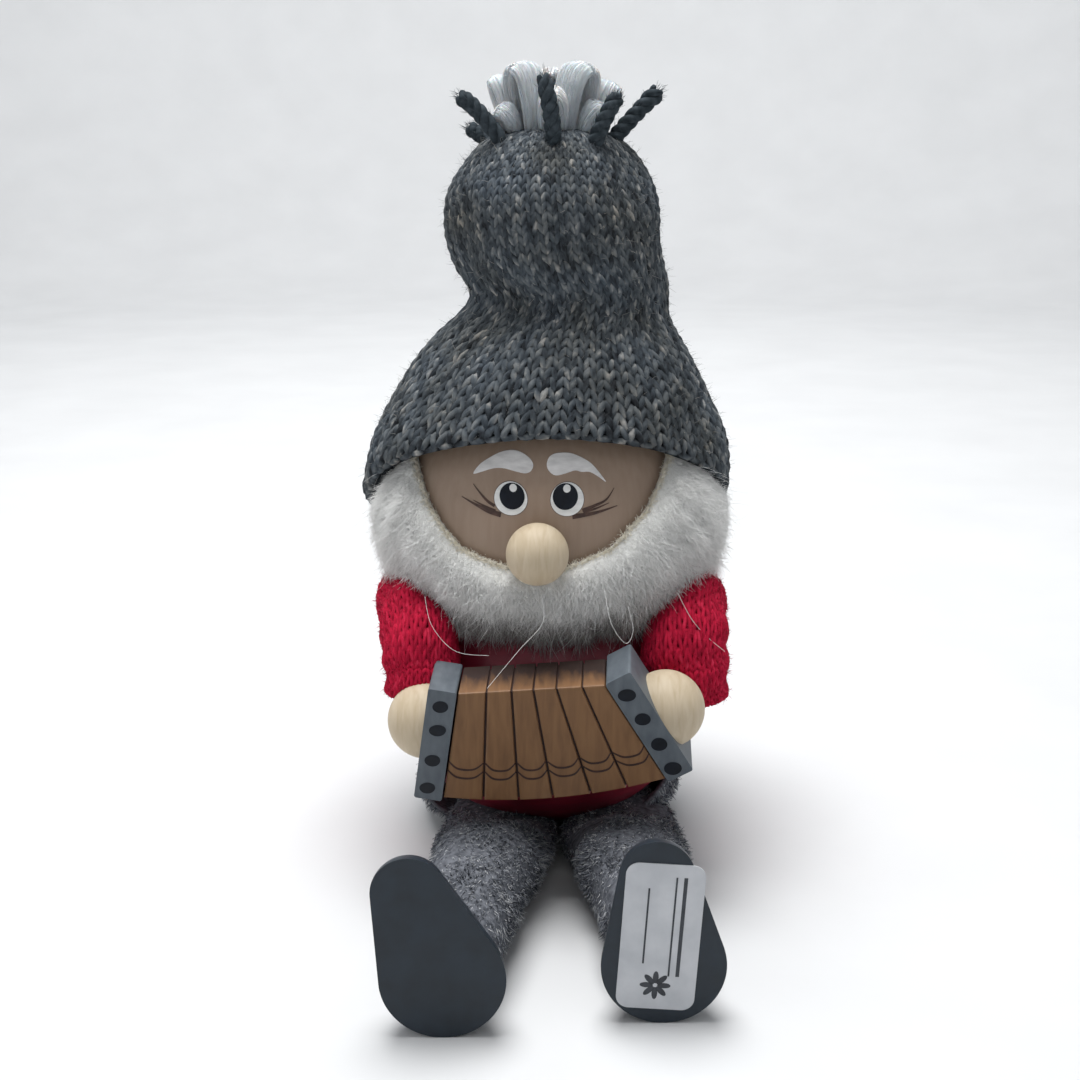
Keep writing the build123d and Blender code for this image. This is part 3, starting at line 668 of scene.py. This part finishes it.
def beard_point(azimuth, t, bulge=1.0):
    """Point on the pelt: t is 0 at the edge by the face or under the hat and 1 at the lower edge."""
    under_hat = np.degrees(np.arctan2(BRIM_HEIGHT - 71 + BRIM_SLOPE * 36 * np.cos(np.radians(azimuth)),
            36)) + 5
    top = np.minimum(np.interp(azimuth, *INNER_EDGE.T, left=90, right=90), under_hat)
    low = np.interp(azimuth, *OUTER_EDGE.T)
    tucked = np.clip((top - under_hat + 7) / 7, 0, 1)
    rise = np.clip(t / 0.16, 0, 1)
    thick = 33.4 + (1.0 + 2.2 * rise ** 0.6) * (1 - 0.85 * tucked * (1 - np.clip(t / 0.4, 0, 1)))
    thick = thick + 0.9 * np.sin(math.pi * np.clip(t, 0, 1)) - 2.4 * np.clip((t - 0.86) / 0.14, 0, 1) ** 2
    local = on_head(azimuth, top + (low - top) * t, thick)
    lean = (0.4 * np.sin(np.radians(azimuth)) ** 3 - 1.2
            * np.abs(np.sin(np.radians(azimuth))) ** 3) * np.clip(t * 2, 0, 1)
    return on_head(azimuth, top + (low - top) * t, thick + lean + bulge * 0.35 * noise3(local, 0.55, 5))


azimuth, along = np.meshgrid(np.linspace(-BEARD_TURN, BEARD_TURN, PELT_AROUND),
                             np.linspace(0, 1, PELT_STEPS), indexing="ij")
pelt = beard_point(azimuth, along)
inside = HEAD + unit(pelt - HEAD) * 33.15
ring = np.concatenate([pelt, inside[:, ::-1]], 1)
count = ring.shape[1]
faces = grid_faces(len(ring), count, True)
k = np.arange(PELT_STEPS - 1)
first_end = np.stack([k, k + 1, count - 2 - k, count - 1 - k], -1)
last_end = first_end[:, ::-1] + (len(ring) - 1) * count
beard_base = dress(new_object("BeardPelt", ring.reshape(-1, 3), np.concatenate([faces, first_end, last_end])),
                   FUR_BASE, "beard_fur", "torso")
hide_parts("beard")

root, out, column, row = scatter(pelt, BEARD_HAIRS)
out = unit(root - HEAD)
t = row / (PELT_STEPS - 1)
down = unit(np.cross(np.cross(out, (0, 0, 1.0)), out)) * -1
side = np.cross(out, down)
sweep = (noise3(root, 0.22, 9)[:, None] * 0.5 + noise3(root, 0.8, 10)[:, None] * 0.45
         + rng.normal(0, 0.9, (len(root), 1)))
flow = unit(down + side * sweep)
lifted = np.clip(0.9 - 0.45 * t, 0.3, 1)[:, None] + rng.normal(0, 0.2, (len(root), 1))
first = unit(flow * 0.5 + out * (lifted + 0.25) + rng.normal(0, 0.4, root.shape))
last = unit(flow * 0.9 + out * (lifted * 0.3) + down * 0.3 + rng.normal(0, 0.65, root.shape))
length = (rng.uniform(2.0, 4.2, len(root)) * (0.55 + 0.45 * np.clip(t / 0.25, 0, 1))
          * (1 + 0.25 * noise3(root, 0.9, 12)))
from_front = np.abs(column / (PELT_AROUND - 1) - 0.5) * 2
length *= np.where(from_front > 0.72, 0.7, 1.0) * (1 + 0.45 * np.clip((t - 0.6) / 0.2, 0, 1))
# painted shade: hair greyer low at the front, above the accordion, standing in for the shadow under the beard
shade_low_front = np.clip((t - 0.45) / 0.4, 0, 1) * np.clip(1.5 - 2.2 * from_front, 0, 1)
shade = np.clip(0.85 - 0.75 * shade_low_front + rng.normal(0, 0.12, len(root)), 0, 1)[:, None]
hairs = bristles(root - out * 0.3, first, last, length, rng.uniform(0.035, 0.065, len(root)), 4, 3,
                 marl=shade)
pieces_of("BeardHair", (*hairs, len(root)), FUR, "beard_fur", body="torso")

loose = rng.choice(len(root), LOOSE_HAIRS, replace=False)
hairs = bristles(root[loose], first[loose], unit(last[loose] + rng.normal(0, 0.7, (LOOSE_HAIRS, 3))),
                 rng.uniform(5, 9.5, LOOSE_HAIRS),
                 0.035, 9, 3, marl=np.full((LOOSE_HAIRS, 1), 0.8))
pieces_of("BeardLooseHair", (*hairs, LOOSE_HAIRS), FUR, "beard_fur", body="torso")

LONG_HAIRS = [[(-1.5, -40.5, 63), (-1.2, -43.0, 58.0), (-5.5, -45.5, 53.5), (-11.6, -47.2, 46.4)],
              [(10.5, -38, 63), (11.8, -40.5, 57), (14.6, -40.5, 53), (16.0, -40, 55.5), (15.0, -39.5, 60)],
              [(25.0, -32, 60.5), (27.5, -34, 56), (30.5, -34, 52.4), (34.4, -33, 48.8)],
              [(-24, -33, 60), (-22.5, -36, 55), (-18, -38, 50.6), (-11.5, -39, 50.0)]]
curled = np.stack([smooth_curve(np.array(p, float), np.linspace(0, len(p) - 1, 26)) for p in LONG_HAIRS])
hairs = tubes(curled, np.full(curled.shape[:2], 0.04), 5, marl=np.full((len(curled), 1), 0.8))
pieces_of("BeardLongHairs", (*hairs, len(curled)), FUR, "beard_fur", body="torso")

edge_at = np.linspace(-64, 58, EDGE_POINTS)
edge_top = np.interp(edge_at, *INNER_EDGE.T)
edge_path = (on_head(edge_at, edge_top, 33.9 + 0.35 * rng.random(EDGE_POINTS))
             + rng.normal(0, 0.16, (EDGE_POINTS, 3)))
edge = tubes(edge_path[None], (0.26 + 0.16 * rng.random(EDGE_POINTS))[None], 8)
pelt_edge = dress(new_object("BeardCutEdge", *edge[:3], True, edge[3]), PELT_EDGE, "beard_fur", "torso")
pick = rng.integers(0, EDGE_POINTS, EDGE_STUBBLE)
root = edge_path[pick] + rng.normal(0, 0.35, (EDGE_STUBBLE, 3))
out = unit(root - HEAD)
first = unit(out + rng.normal(0, 0.7, root.shape))
hairs = bristles(root, first, unit(first + rng.normal(0, 0.6, root.shape)),
                 rng.uniform(0.4, 1.3, EDGE_STUBBLE), 0.06, 3, 3)
pieces_of("BeardEdgeStubble", (*hairs, EDGE_STUBBLE), PELT_EDGE, "beard_fur", body="torso")

# ---------------------------------------------------------------- thin painted shapes


def closed_curve(points, per=5):
    """A smooth closed outline through the points."""
    p = np.asarray(points, float)
    at = np.linspace(0, len(p), len(p) * per, endpoint=False) + 3
    return smooth_curve(np.concatenate([p[-3:], p, p[:4]]), at)


def oval(centre, half_w, half_h, turn=0.0, count=36, egg=0.0):
    a = np.arange(count) * 2 * math.pi / count
    x, y = half_w * np.cos(a) * (1 - egg * np.sin(a)), half_h * np.sin(a)
    c, s = math.cos(turn), math.sin(turn)
    return np.column_stack([centre[0] + x * c - y * s, centre[1] + x * s + y * c])


def stroke(points, widths, per=8):
    """Outline of a brush stroke along points with a half width at each."""
    p = np.column_stack([np.asarray(points, float), widths])
    line = smooth_curve(p, np.linspace(0, len(p) - 1, (len(p) - 1) * per + 1))
    tangent = unit(np.gradient(line[:, :2], axis=0))
    normal = np.column_stack([-tangent[:, 1], tangent[:, 0]]) * np.maximum(line[:, 2:], 0.02)
    return np.concatenate([line[:, :2] + normal, (line[:, :2] - normal)[::-1]])


def film(name, outlines, place, material, slot, body, lift=0.08, sink=0.25, step=0.6):
    """A thin coat in the shape of the outlines, laid on a surface by place(points, lift)."""
    parts = []
    for outline in outlines:
        low, high = outline.min(0), outline.max(0)
        xs, ys = np.meshgrid(np.arange(low[0], high[0], step), np.arange(low[1], high[1], step))
        inner_points = np.column_stack([xs.ravel(), ys.ravel()])
        points = [Vector(p) for p in np.concatenate([outline, inner_points])]
        flat, _, faces, *_ = delaunay_2d_cdt(points, [], [list(range(len(outline)))], 1, 1e-5)
        flat = np.array([tuple(p) for p in flat])
        tris = np.array([f for f in faces if len(f) == 3])
        used = {}
        for f in tris:
            for a, b in zip(f, np.roll(f, -1)):
                used[(a, b)] = True
        rim = np.array([(a, b) for a, b in used if (b, a) not in used])
        n = len(flat)
        sides = np.stack([rim[:, 1], rim[:, 0], rim[:, 0] + n, rim[:, 1] + n], -1)
        verts = np.concatenate([place(flat, lift), place(flat, -sink)])
        parts.append((verts, sides, np.concatenate([tris, tris[:, ::-1] + n]), np.full(2 * n, 0.5)))
    verts, quads, tris, marl = join(parts)
    made = new_object(name, verts, quads, tris, False)
    return dress(made, material, slot, body)


def face_place(points, lift):
    x, z = points[:, 0], points[:, 1]
    radius = HEAD_RADIUS + lift
    return np.column_stack([x, -np.sqrt(radius ** 2 - x ** 2 - (z - HEAD[2]) ** 2), z])


EYES = [((-7.3, 79.1), (-7.05, 79.55), (-6.85, 81.1)), ((3.5, 79.1), (3.15, 79.6), (3.45, 81.1))]
film("EyeRims", [oval(e[0], 3.3, 3.25, egg=0.03) for e in EYES], face_place, LASH, "face_paint", "torso",
     0.05)
film("EyeWhites", [oval(e[0], 3.2, 3.15, egg=0.03) for e in EYES], face_place, WHITE, "face_paint", "torso",
     0.11)
film("EyePupils", [oval(e[1], 2.42, 2.48) for e in EYES], face_place, NAVY, "face_paint", "torso", 0.17)
film("EyeGlints", [oval(e[2], 0.72, 0.74) for e in EYES], face_place, WHITE, "face_paint", "torso", 0.23,
     step=0.3)
LEFT_BROW = [(-14.6, 83.1), (-13.3, 84.9), (-11.3, 86.3), (-9.4, 87.3), (-7.5, 87.8), (-5.9, 87.7),
             (-4.5, 87.1),
             (-3.4, 86.2), (-3.0, 85.2), (-3.5, 84.2), (-4.6, 83.8), (-6.5, 84.1), (-8.4, 84.5),
             (-10.0, 84.5),
             (-11.3, 84.2), (-12.9, 83.6)]
RIGHT_BROW = [(-0.4, 85.3), (-0.1, 86.5), (0.7, 87.2), (2.1, 87.5), (4.1, 87.4), (6.0, 86.7), (7.9, 85.6),
              (9.2, 84.3),
              (10.0, 83.3), (11.0, 81.9), (9.6, 82.9), (7.9, 83.9), (6.3, 84.0), (5.0, 84.3), (3.1, 83.8),
              (1.3, 83.5),
              (0.1, 84.2)]
film("Eyebrows", [closed_curve(LEFT_BROW), closed_curve(RIGHT_BROW)], face_place, BROW, "face_paint",
     "torso", 0.14)
film("Eyelashes", [stroke([(-9.2, 75.9), (-11.5, 76.4), (-13.6, 77.2), (-16.9, 78.6)],
                          (0.5, 0.42, 0.28, 0.06)),
                   stroke([(-10.4, 77.5), (-11.8, 78.3), (-13.2, 79.6), (-14.6, 81.2)],
                          (0.3, 0.26, 0.16, 0.05)),
                   stroke([(-10.2, 76.6), (-12.4, 77.3), (-14.6, 78.2)], (0.22, 0.2, 0.05)),
                   stroke([(4.5, 75.8), (6.6, 76.0), (9.4, 76.4), (13.2, 77.3)], (0.5, 0.4, 0.27, 0.06)),
                   stroke([(6.4, 76.9), (8.6, 77.6), (11.0, 78.6), (12.6, 80.7)], (0.34, 0.28, 0.18, 0.05)),
                   stroke([(6.6, 76.5), (9.0, 77.1), (11.6, 78.0)], (0.2, 0.18, 0.05))],
     face_place, LASH, "face_paint", "torso", 0.07, step=0.4)

# ---------------------------------------------------------------- accordion

TURN, LEAN = math.radians(3.3), math.radians(8.0)
FRONT = np.array([0.0, -46.6, 33.0])
RIGHTWARD = np.array([math.cos(TURN), -math.sin(TURN), 0.0])
OUTWARD = np.array([-math.sin(TURN) * math.cos(LEAN), -math.cos(TURN) * math.cos(LEAN), -math.sin(LEAN)])
UPWARD = np.cross(OUTWARD, RIGHTWARD)
ENDS = {"right": ((-19.9, 13.0), -8.7), "left": ((12.8, 16.4), 30.7)}
END_HALF, END_LENGTH, DEPTH, RECESS = 2.7, 24.0, 11.7, 0.5


def front_place(points, lift):
    return FRONT + points[:, :1] * RIGHTWARD + points[:, 1:] * UPWARD + lift * OUTWARD


def end_point(name, across, along):
    (u, w), angle = ENDS[name]
    a = math.radians(angle)
    return np.array([u + across * math.cos(a) + along * math.sin(a),
                     w + across * math.sin(a) - along * math.cos(a)])


top_left = end_point("right", END_HALF + 0.12, 0.4)
bottom_left = end_point("right", END_HALF + 0.12, END_LENGTH - 0.6)
top_right = end_point("left", -END_HALF - 0.12, 0.4)
bottom_right = end_point("left", -END_HALF - 0.12, END_LENGTH - 0.6)
PLEATS_TOP = [top_left[0], -11.7, -7.0, -2.9, 1.4, 6.2, top_right[0]]
PLEATS_BOTTOM = [bottom_left[0], -12.8, -5.9, 0.7, 8.0, 14.9, bottom_right[0]]
BELLOWS_SAG = 2.3


def top_edge(u):
    s = (u - top_left[0]) / (top_right[0] - top_left[0])
    return np.column_stack([u, top_left[1] + (top_right[1] - top_left[1]) * s])


def bottom_edge(u):
    s = (u - bottom_left[0]) / (bottom_right[0] - bottom_left[0])
    return np.column_stack([u, bottom_left[1] + (bottom_right[1] - bottom_left[1]) * s - BELLOWS_SAG * 4
                            * s * (1 - s)])


def slab(u_top, u_bottom, inset, layers, count=9):
    """A closed block between two lines, as rings of points at (inset, lift) layers."""
    rings = []
    for side_inset, lift in layers:
        top = top_edge(np.linspace(u_top[0] + side_inset + inset, u_top[1] - side_inset - inset, count))
        low = bottom_edge(np.linspace(u_bottom[0] + side_inset + inset, u_bottom[1] - side_inset - inset,
                count))
        top[:, 1] -= side_inset
        low[:, 1] += side_inset
        rings.append(front_place(np.concatenate([low, top[::-1]]), lift))
    n = 2 * count
    faces = grid_faces(len(rings), n, True)
    k = np.arange(count - 1)
    cap = np.stack([k, k + 1, n - 2 - k, n - 1 - k], -1)
    # painted shade: darker toward the back, standing in for the beard's shadow on the top of the bellows
    shade = np.where(np.array([lift for _, lift in layers]) < -DEPTH / 2, -0.6, 0.5)
    return (np.concatenate(rings), np.concatenate([faces, cap[:, ::-1], cap + (len(rings) - 1) * n]),
            np.zeros((0, 3), int), np.repeat(shade, n))


strips = []
for k in range(6):
    gap = 0.2
    strips.append(slab((PLEATS_TOP[k] + gap, PLEATS_TOP[k + 1] - gap),
                       (PLEATS_BOTTOM[k] + gap, PLEATS_BOTTOM[k + 1] - gap),
                       0, [(0.28, -RECESS), (0.08, -RECESS - 0.08), (0.0, -RECESS - 0.3),
                           (0.0, RECESS - DEPTH)]))
verts, quads, tris, marl = join(strips)
bellows = dress(new_object("BellowsPleats", verts, quads, tris, False, marl), BELLOWS, "bellows_paint",
                "accordion_arms")
verts, quads, tris, marl = slab((PLEATS_TOP[0], PLEATS_TOP[6]), (PLEATS_BOTTOM[0], PLEATS_BOTTOM[6]), 0.1,
                                [(0.45, -RECESS - 0.5), (0.45, RECESS - DEPTH + 0.5)], 40)
dress(new_object("BellowsGrooves", verts, quads, tris, False), BELLOWS_DARK, "bellows_paint",
      "accordion_arms")
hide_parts("accordion_bellows")

curves = []
for k in range(6):
    for high, low in ((8.2, 6.2), (6.3, 4.3)):
        ends_ = []
        for j, shift in ((k, 0.22), (k + 1, -0.22)):
            foot = bottom_edge(np.array([PLEATS_BOTTOM[j] + shift]))[0]
            head_ = top_edge(np.array([PLEATS_TOP[j] + shift]))[0]
            up = unit(head_ - foot)
            ends_.append((foot + up * high, foot + up * low))
        start, end = ends_[0][0], ends_[1][0]
        sag = (ends_[0][1] + ends_[1][1]) / 2
        curves.append(stroke([start, start * 0.25 + sag * 0.75 + (start - end) * 0.1, end * 0.25 + sag * 0.75
                              + (end - start) * 0.1, end], (0.14, 0.2, 0.18, 0.12)))
film("BellowsCurves", curves, lambda p, lift: front_place(p, lift - RECESS), BELLOWS_DARK, "bellows_paint",
     "accordion_arms", 0.05, 0.1)
BUTTONS = {"RightEndButtons": [(-20.4, 9.6), (-21.1, 4.5), (-22.3, -2.1), (-23.5, -8.2)],
           "LeftEndButtons": [(14.6, 12.9), (17.6, 7.9), (20.8, 2.6), (23.5, -2.6)]}
for name, places in BUTTONS.items():
    film(name, [oval(p, 1.62 + 0.12 * math.sin(7 * p[1]), 1.3 + 0.1 * math.cos(5 * p[1]), 0.1,
                     egg=0.06 * math.sin(p[1]))
                for p in places], front_place, NAVY, "end_paint", "accordion_arms", 0.07)

# ---------------------------------------------------------------- sleeves

SLEEVE_ROWS, SLEEVE_COLUMNS = 22, 28
SLEEVES = {  # x, y, z, half width, half height from the shoulder to the cuff
    "Left": [(28.6, 1, 52.0, 1.2, 2.4), (29.8, -8, 52.8, 5.8, 6.8), (28.2, -19, 52.2, 7.4, 8.6),
             (26.9, -26.5, 48.8, 8.1, 8.6), (27.2, -28.6, 43.5, 7.9, 8.2), (27.7, -29.0, 38.0, 7.3, 7.6)],
    "Right": [(-28.6, 1, 52.0, 1.2, 2.4), (-29.2, -8, 52.6, 5.8, 6.8), (-26.6, -19, 51.7, 7.0, 8.4),
              (-25.4, -27.0, 48.4, 7.2, 8.4), (-25.2, -29.4, 43.8, 6.7, 8.2), (-25.4, -30.0, 39.2, 6.3, 7.6)]}


def sleeve_place(stations):
    stations = np.array(stations, float)

    def place(row, column, lift):
        at = np.clip(row / SLEEVE_ROWS, 0, 1) * (len(stations) - 1)
        here = smooth_curve(stations, at)
        ahead = smooth_curve(stations, np.minimum(at + 0.05, len(stations) - 1))
        behind = smooth_curve(stations, np.maximum(at - 0.05, 0))
        tangent = unit((ahead - behind)[:, :3])
        side = unit(tangent * tangent[:, :1] - (1.0, 0, 0))
        up = np.cross(side, tangent)
        a = (column / SLEEVE_COLUMNS * 2 * math.pi)[:, None]
        wrinkle = 0.35 * np.sin(at * 5.5 + 2 * a[:, 0]) * np.clip(at - 0.5, 0, 1)
        reach = np.asarray(lift)[:, None] + wrinkle[:, None]
        return here[:, :3] + side * np.cos(a) * (here[:, 3:4] + reach) + up * np.sin(a) * (here[:, 4:5]
                + reach)
    return place


for side_name, stations in SLEEVES.items():
    place = sleeve_place(stations)
    made = knit(f"{side_name}SleeveKnit", place, SLEEVE_ROWS, SLEEVE_COLUMNS, (0, SLEEVE_ROWS),
                lambda i: 0.46, lambda i: 0.24, RED_YARN, "sleeve_cloth", samples=10, sides=5, spread=0.25,
                seed=21, body="accordion_arms")
    sleeve_shade_lining = lining(f"{side_name}SleeveShadeLining", place, SLEEVE_ROWS, SLEEVE_COLUMNS, -0.25, -1.1,
                           RED_SHADE_LINING, "sleeve_cloth",
           steps=30, around=48, body="accordion_arms")
    rows_, cols_ = np.meshgrid(np.linspace(0, SLEEVE_ROWS, 40), np.arange(48) * 0.5, indexing="ij")
    grid = place(rows_.ravel(), cols_.ravel(), np.full(rows_.size, 0.2)).reshape(40, 48, 3)
    root, out, _, _ = scatter(grid, 14000, wrap=True)
    first = unit(out * 0.5 + rng.normal(0, 0.9, out.shape))
    hairs = bristles(root, first, unit(first + rng.normal(0, 1.0, out.shape)),
                     rng.uniform(0.7, 1.9, len(root)), 0.055, 4)
    made += pieces_of(f"{side_name}SleeveFuzz", (*hairs, len(root)), RED_YARN, "sleeve_cloth",
                      body="accordion_arms")
    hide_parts(f"{side_name.lower()}_sleeve")

# ---------------------------------------------------------------- trousers

LEGS = {  # x, y, z, half width, half height from inside the seat to the ankle
    "Left": [(13.5, 2, 4.6, 8.0, 3.6), (14.6, -12, 4.8, 11.0, 4.2), (15.2, -22, 5.0, 11.8, 4.5),
             (15.5, -31, 6.4, 11.8, 5.9), (16.2, -44, 8.8, 10.6, 8.3), (17.5, -60, 9.4, 8.9, 8.2),
             (18.6, -75, 9.6, 7.4, 7.4), (19.0, -82, 9.7, 6.4, 6.4)],
    "Right": [(-9.5, 2, 4.6, 8.0, 3.6), (-10.0, -12, 4.8, 11.0, 4.2), (-10.4, -22, 5.0, 11.8, 4.5),
              (-10.8, -31, 6.4, 11.9, 5.9), (-12.2, -44, 8.8, 10.7, 8.3), (-14.4, -60, 9.4, 9.1, 8.2),
              (-16.3, -76, 9.6, 7.6, 7.4), (-17.2, -86, 9.7, 6.4, 6.4)]}
LEG_AROUND, LEG_STEPS = 64, 90


def leg_grid(stations, grow=0.0):
    at = np.linspace(0, len(stations) - 1, LEG_STEPS)
    here = smooth_curve(np.array(stations, float), at)
    a = np.arange(LEG_AROUND) * 2 * math.pi / LEG_AROUND
    fullness = 1.12
    cos, sin = np.cos(a), np.sin(a)
    shape = (np.abs(cos) ** (2 * fullness) + np.abs(sin) ** (2 * fullness)) ** (-0.5 / fullness)
    x = here[:, 0:1] + (here[:, 3:4] + grow) * cos * shape
    z = here[:, 2:3] + (here[:, 4:5] + grow) * sin * shape
    y = np.broadcast_to(here[:, 1:2], x.shape)
    points = np.stack([x, y, z], -1)
    bumps = 0.4 * noise3(points.reshape(-1, 3), 0.22, 31).reshape(x.shape) \
        + 0.25 * noise3(points.reshape(-1, 3), 0.7, 32).reshape(x.shape)
    points = points + unit(np.stack([cos * np.ones_like(x), 0 * x, sin * np.ones_like(x)], -1)) * bumps[...,
            None]
    points[..., 2] = np.maximum(points[..., 2], 0.5)
    return points


def capped(grid):
    """A lattice closed around and shut at both ends with a point."""
    rows, around = grid.shape[:2]
    verts = np.concatenate([grid.reshape(-1, 3), grid[:1].mean(1), grid[-1:].mean(1)])
    k = np.arange(around)
    m = (k + 1) % around
    tris = np.concatenate([np.stack([m, k, np.full(around, rows * around)], -1),
                           np.stack([k + (rows - 1) * around, m + (rows - 1) * around,
                                     np.full(around, rows * around + 1)], -1)])
    return verts, grid_faces(rows, around, True), tris


for side_name, stations in LEGS.items():
    body = f"{side_name.lower()}_leg"
    fold = ("torso", body, (0, -0.008, 0.009), (0, -0.024, 0.009))
    grid = leg_grid(stations)
    leg = dress(new_object(f"{side_name}TrouserLeg", *capped(grid)), FLEECE_BASE, "trouser_cloth", blend=fold)
    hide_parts(f"{side_name.lower()}_trouser_leg", f"{side_name.lower()}_leg_filling")
    root, out, row, column = scatter(grid, 15500, wrap=True)
    out = unit(out * np.sign((out * (root - leg_grid(stations).mean((0, 1)))).sum(-1, keepdims=True)))
    comb = np.array([0, -1.0, 0]) + np.stack([noise3(root, 0.35, 41), 0 * row, noise3(root, 0.35, 42)],
            -1) * 0.7
    first = unit(comb * 0.8 + out * 0.55 + rng.normal(0, 0.3, out.shape))
    last = unit(comb + out * 0.1 + rng.normal(0, 0.5, out.shape))
    shade = np.clip(0.48 + 0.14 * noise3(root, 1.3, 43) + rng.normal(0, 0.3, len(root)), 0, 1)[:, None]
    length = np.minimum(rng.uniform(0.9, 2.0, len(root)), np.maximum(root[:, 2] * 0.7, 0.2))
    hairs = bristles(root - out * 0.15, first, last, length, rng.uniform(0.07, 0.14, len(root)), 3,
                     marl=shade)
    pieces_of(f"{side_name}TrouserPile", (*hairs, len(root)), FLEECE, "trouser_cloth", blend=fold)

SEAT_AROUND, SEAT_STEPS = 120, 34


def waist(angle):
    """Height of the waist edge: low under the belly, high at the sides and the back."""
    front = 0.5 + 0.5 * np.cos(angle)
    return 3.2 + 17.0 * (1 - front ** 1.3) ** 1.5 + 6.5 * np.clip(np.sin(angle), 0, 1) ** 2 * front ** 0.5


def seat_grid(grow):
    angle = np.arange(SEAT_AROUND) * 2 * math.pi / SEAT_AROUND
    t = np.linspace(0, 1, SEAT_STEPS)
    top = waist(angle)
    z = 0.6 + (top[None] - 0.6) * t[:, None]
    body_radius = np.sqrt(np.maximum(34.0 ** 2 - (z - 35.0) ** 2, 1))
    sit = 23.5 + 4.5 * np.sqrt(np.clip(z / 9, 0, 1))
    radius = np.maximum(body_radius + 0.9, np.minimum(sit, body_radius + 9.0)) + grow
    pull = np.clip(np.cos(angle), 0, 1)[None] ** 2
    radius = radius * (1 - pull) + (np.minimum(radius, 25.0 + grow) * pull)
    return np.stack([radius * np.sin(angle)[None], -radius * np.cos(angle)[None], z], -1)


outer = seat_grid(0.0)
bumps = 0.35 * noise3(outer.reshape(-1, 3), 0.25, 51).reshape(outer.shape[:2])
flat = outer.copy()
flat[..., 2] = 0
outer = outer + unit(flat) * bumps[..., None]
inner_shell = outer - unit(flat) * 1.1
inner_shell[..., 2] = np.maximum(inner_shell[..., 2], 1.4)
ring = np.concatenate([outer, inner_shell[::-1]])
bottom_quads = np.stack([np.arange(SEAT_AROUND), (2 * SEAT_STEPS - 1) * SEAT_AROUND + np.arange(SEAT_AROUND),
                         (2 * SEAT_STEPS - 1) * SEAT_AROUND + (np.arange(SEAT_AROUND) + 1) % SEAT_AROUND,
                         (np.arange(SEAT_AROUND) + 1) % SEAT_AROUND], -1)
floor_disc = np.stack([outer[0] * np.array([r, r, 1.0]) for r in (1.0, 0.5, 0.02)])
disc_base = len(ring) * SEAT_AROUND
seat = dress(new_object("TrouserBase", np.concatenate([ring.reshape(-1, 3), floor_disc.reshape(-1, 3)]),
                        np.concatenate([grid_faces(len(ring), SEAT_AROUND, True), bottom_quads,
                                        grid_faces(3, SEAT_AROUND, True) + disc_base])),
             FLEECE_BASE, "trouser_cloth", "torso")
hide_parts("trouser_seat")
root, out, row, column = scatter(outer, 13000, wrap=True)
out = unit(root * np.array([1, 1, 0.0]) + np.array([0, 0, 0.01]))
comb = np.array([0, 0, -0.8]) + rng.normal(0, 0.3, (len(root), 3)) + np.stack([noise3(root, 0.35, 61),
        noise3(root, 0.35, 62),
                                                                            0 * row], -1) * 0.5
shade = np.clip(0.48 + 0.14 * noise3(root, 1.3, 63) + rng.normal(0, 0.3, len(root)), 0, 1)[:, None]
length = np.minimum(rng.uniform(0.9, 1.9, len(root)), np.maximum(root[:, 2] * 0.7, 0.2))
hairs = bristles(root, unit(comb + out * 0.7), unit(comb + out * 0.1), length,
                 rng.uniform(0.07, 0.14, len(root)), 3,
                 marl=shade)
seat_pile = pieces_of("TrouserBasePile", (*hairs, len(root)), FLEECE, "trouser_cloth", body="torso")

# ---------------------------------------------------------------- label print

LABEL_CENTRE, LABEL_TURN, LABEL_FACE = (18.6, 16.3), math.radians(-3.6), -86.2


def label_place(points, lift):
    c, s = math.cos(LABEL_TURN), math.sin(LABEL_TURN)
    u, v = points[:, 0], points[:, 1]
    return np.column_stack([LABEL_CENTRE[0] + u * c - v * s, np.full(len(u), LABEL_FACE - lift),
                            LABEL_CENTRE[1] + u * s + v * c])


def bar(u, v, half_w, half_h):
    return np.array([(u - half_w, v - half_h), (u + half_w, v - half_h), (u + half_w, v + half_h),
                     (u - half_w, v + half_h)])


rules = [bar(3.4, 2.0, 0.32, 9.2), bar(1.9, 2.0, 0.16, 9.2), bar(-2.6, 2.0, 0.16, 7.0)]
petals = [oval((-0.2 + 1.5 * math.cos(a), -9.0 + 1.5 * math.sin(a)), 1.15, 0.5, a,
               16) for a in np.arange(8) * math.pi / 4]
film("LabelPrint", rules + petals, label_place, LABEL_INK, "label_foil", "left_leg", 0.03, 0.1)

# ---------------------------------------------------------------- CAD pieces

FINISHES = {"head": FACE, "nose": WOOD, "nose_pin": WOOD, "neck_dowel": WOOD, "body": RED_PAINT,
            "left_hand": WOOD,
            "right_hand": WOOD, "left_accordion_end": END_PAINT, "right_accordion_end": END_PAINT,
            "left_shoe": SHOE, "right_shoe": SHOE, "sole_label": LABEL, "left_arm_cord": CORD,
            "right_arm_cord": CORD,
            "left_leg_cord": CORD, "right_leg_cord": CORD}
for node, finish_ in FINISHES.items():
    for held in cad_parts[node].material_slots:
        held.material = finish_
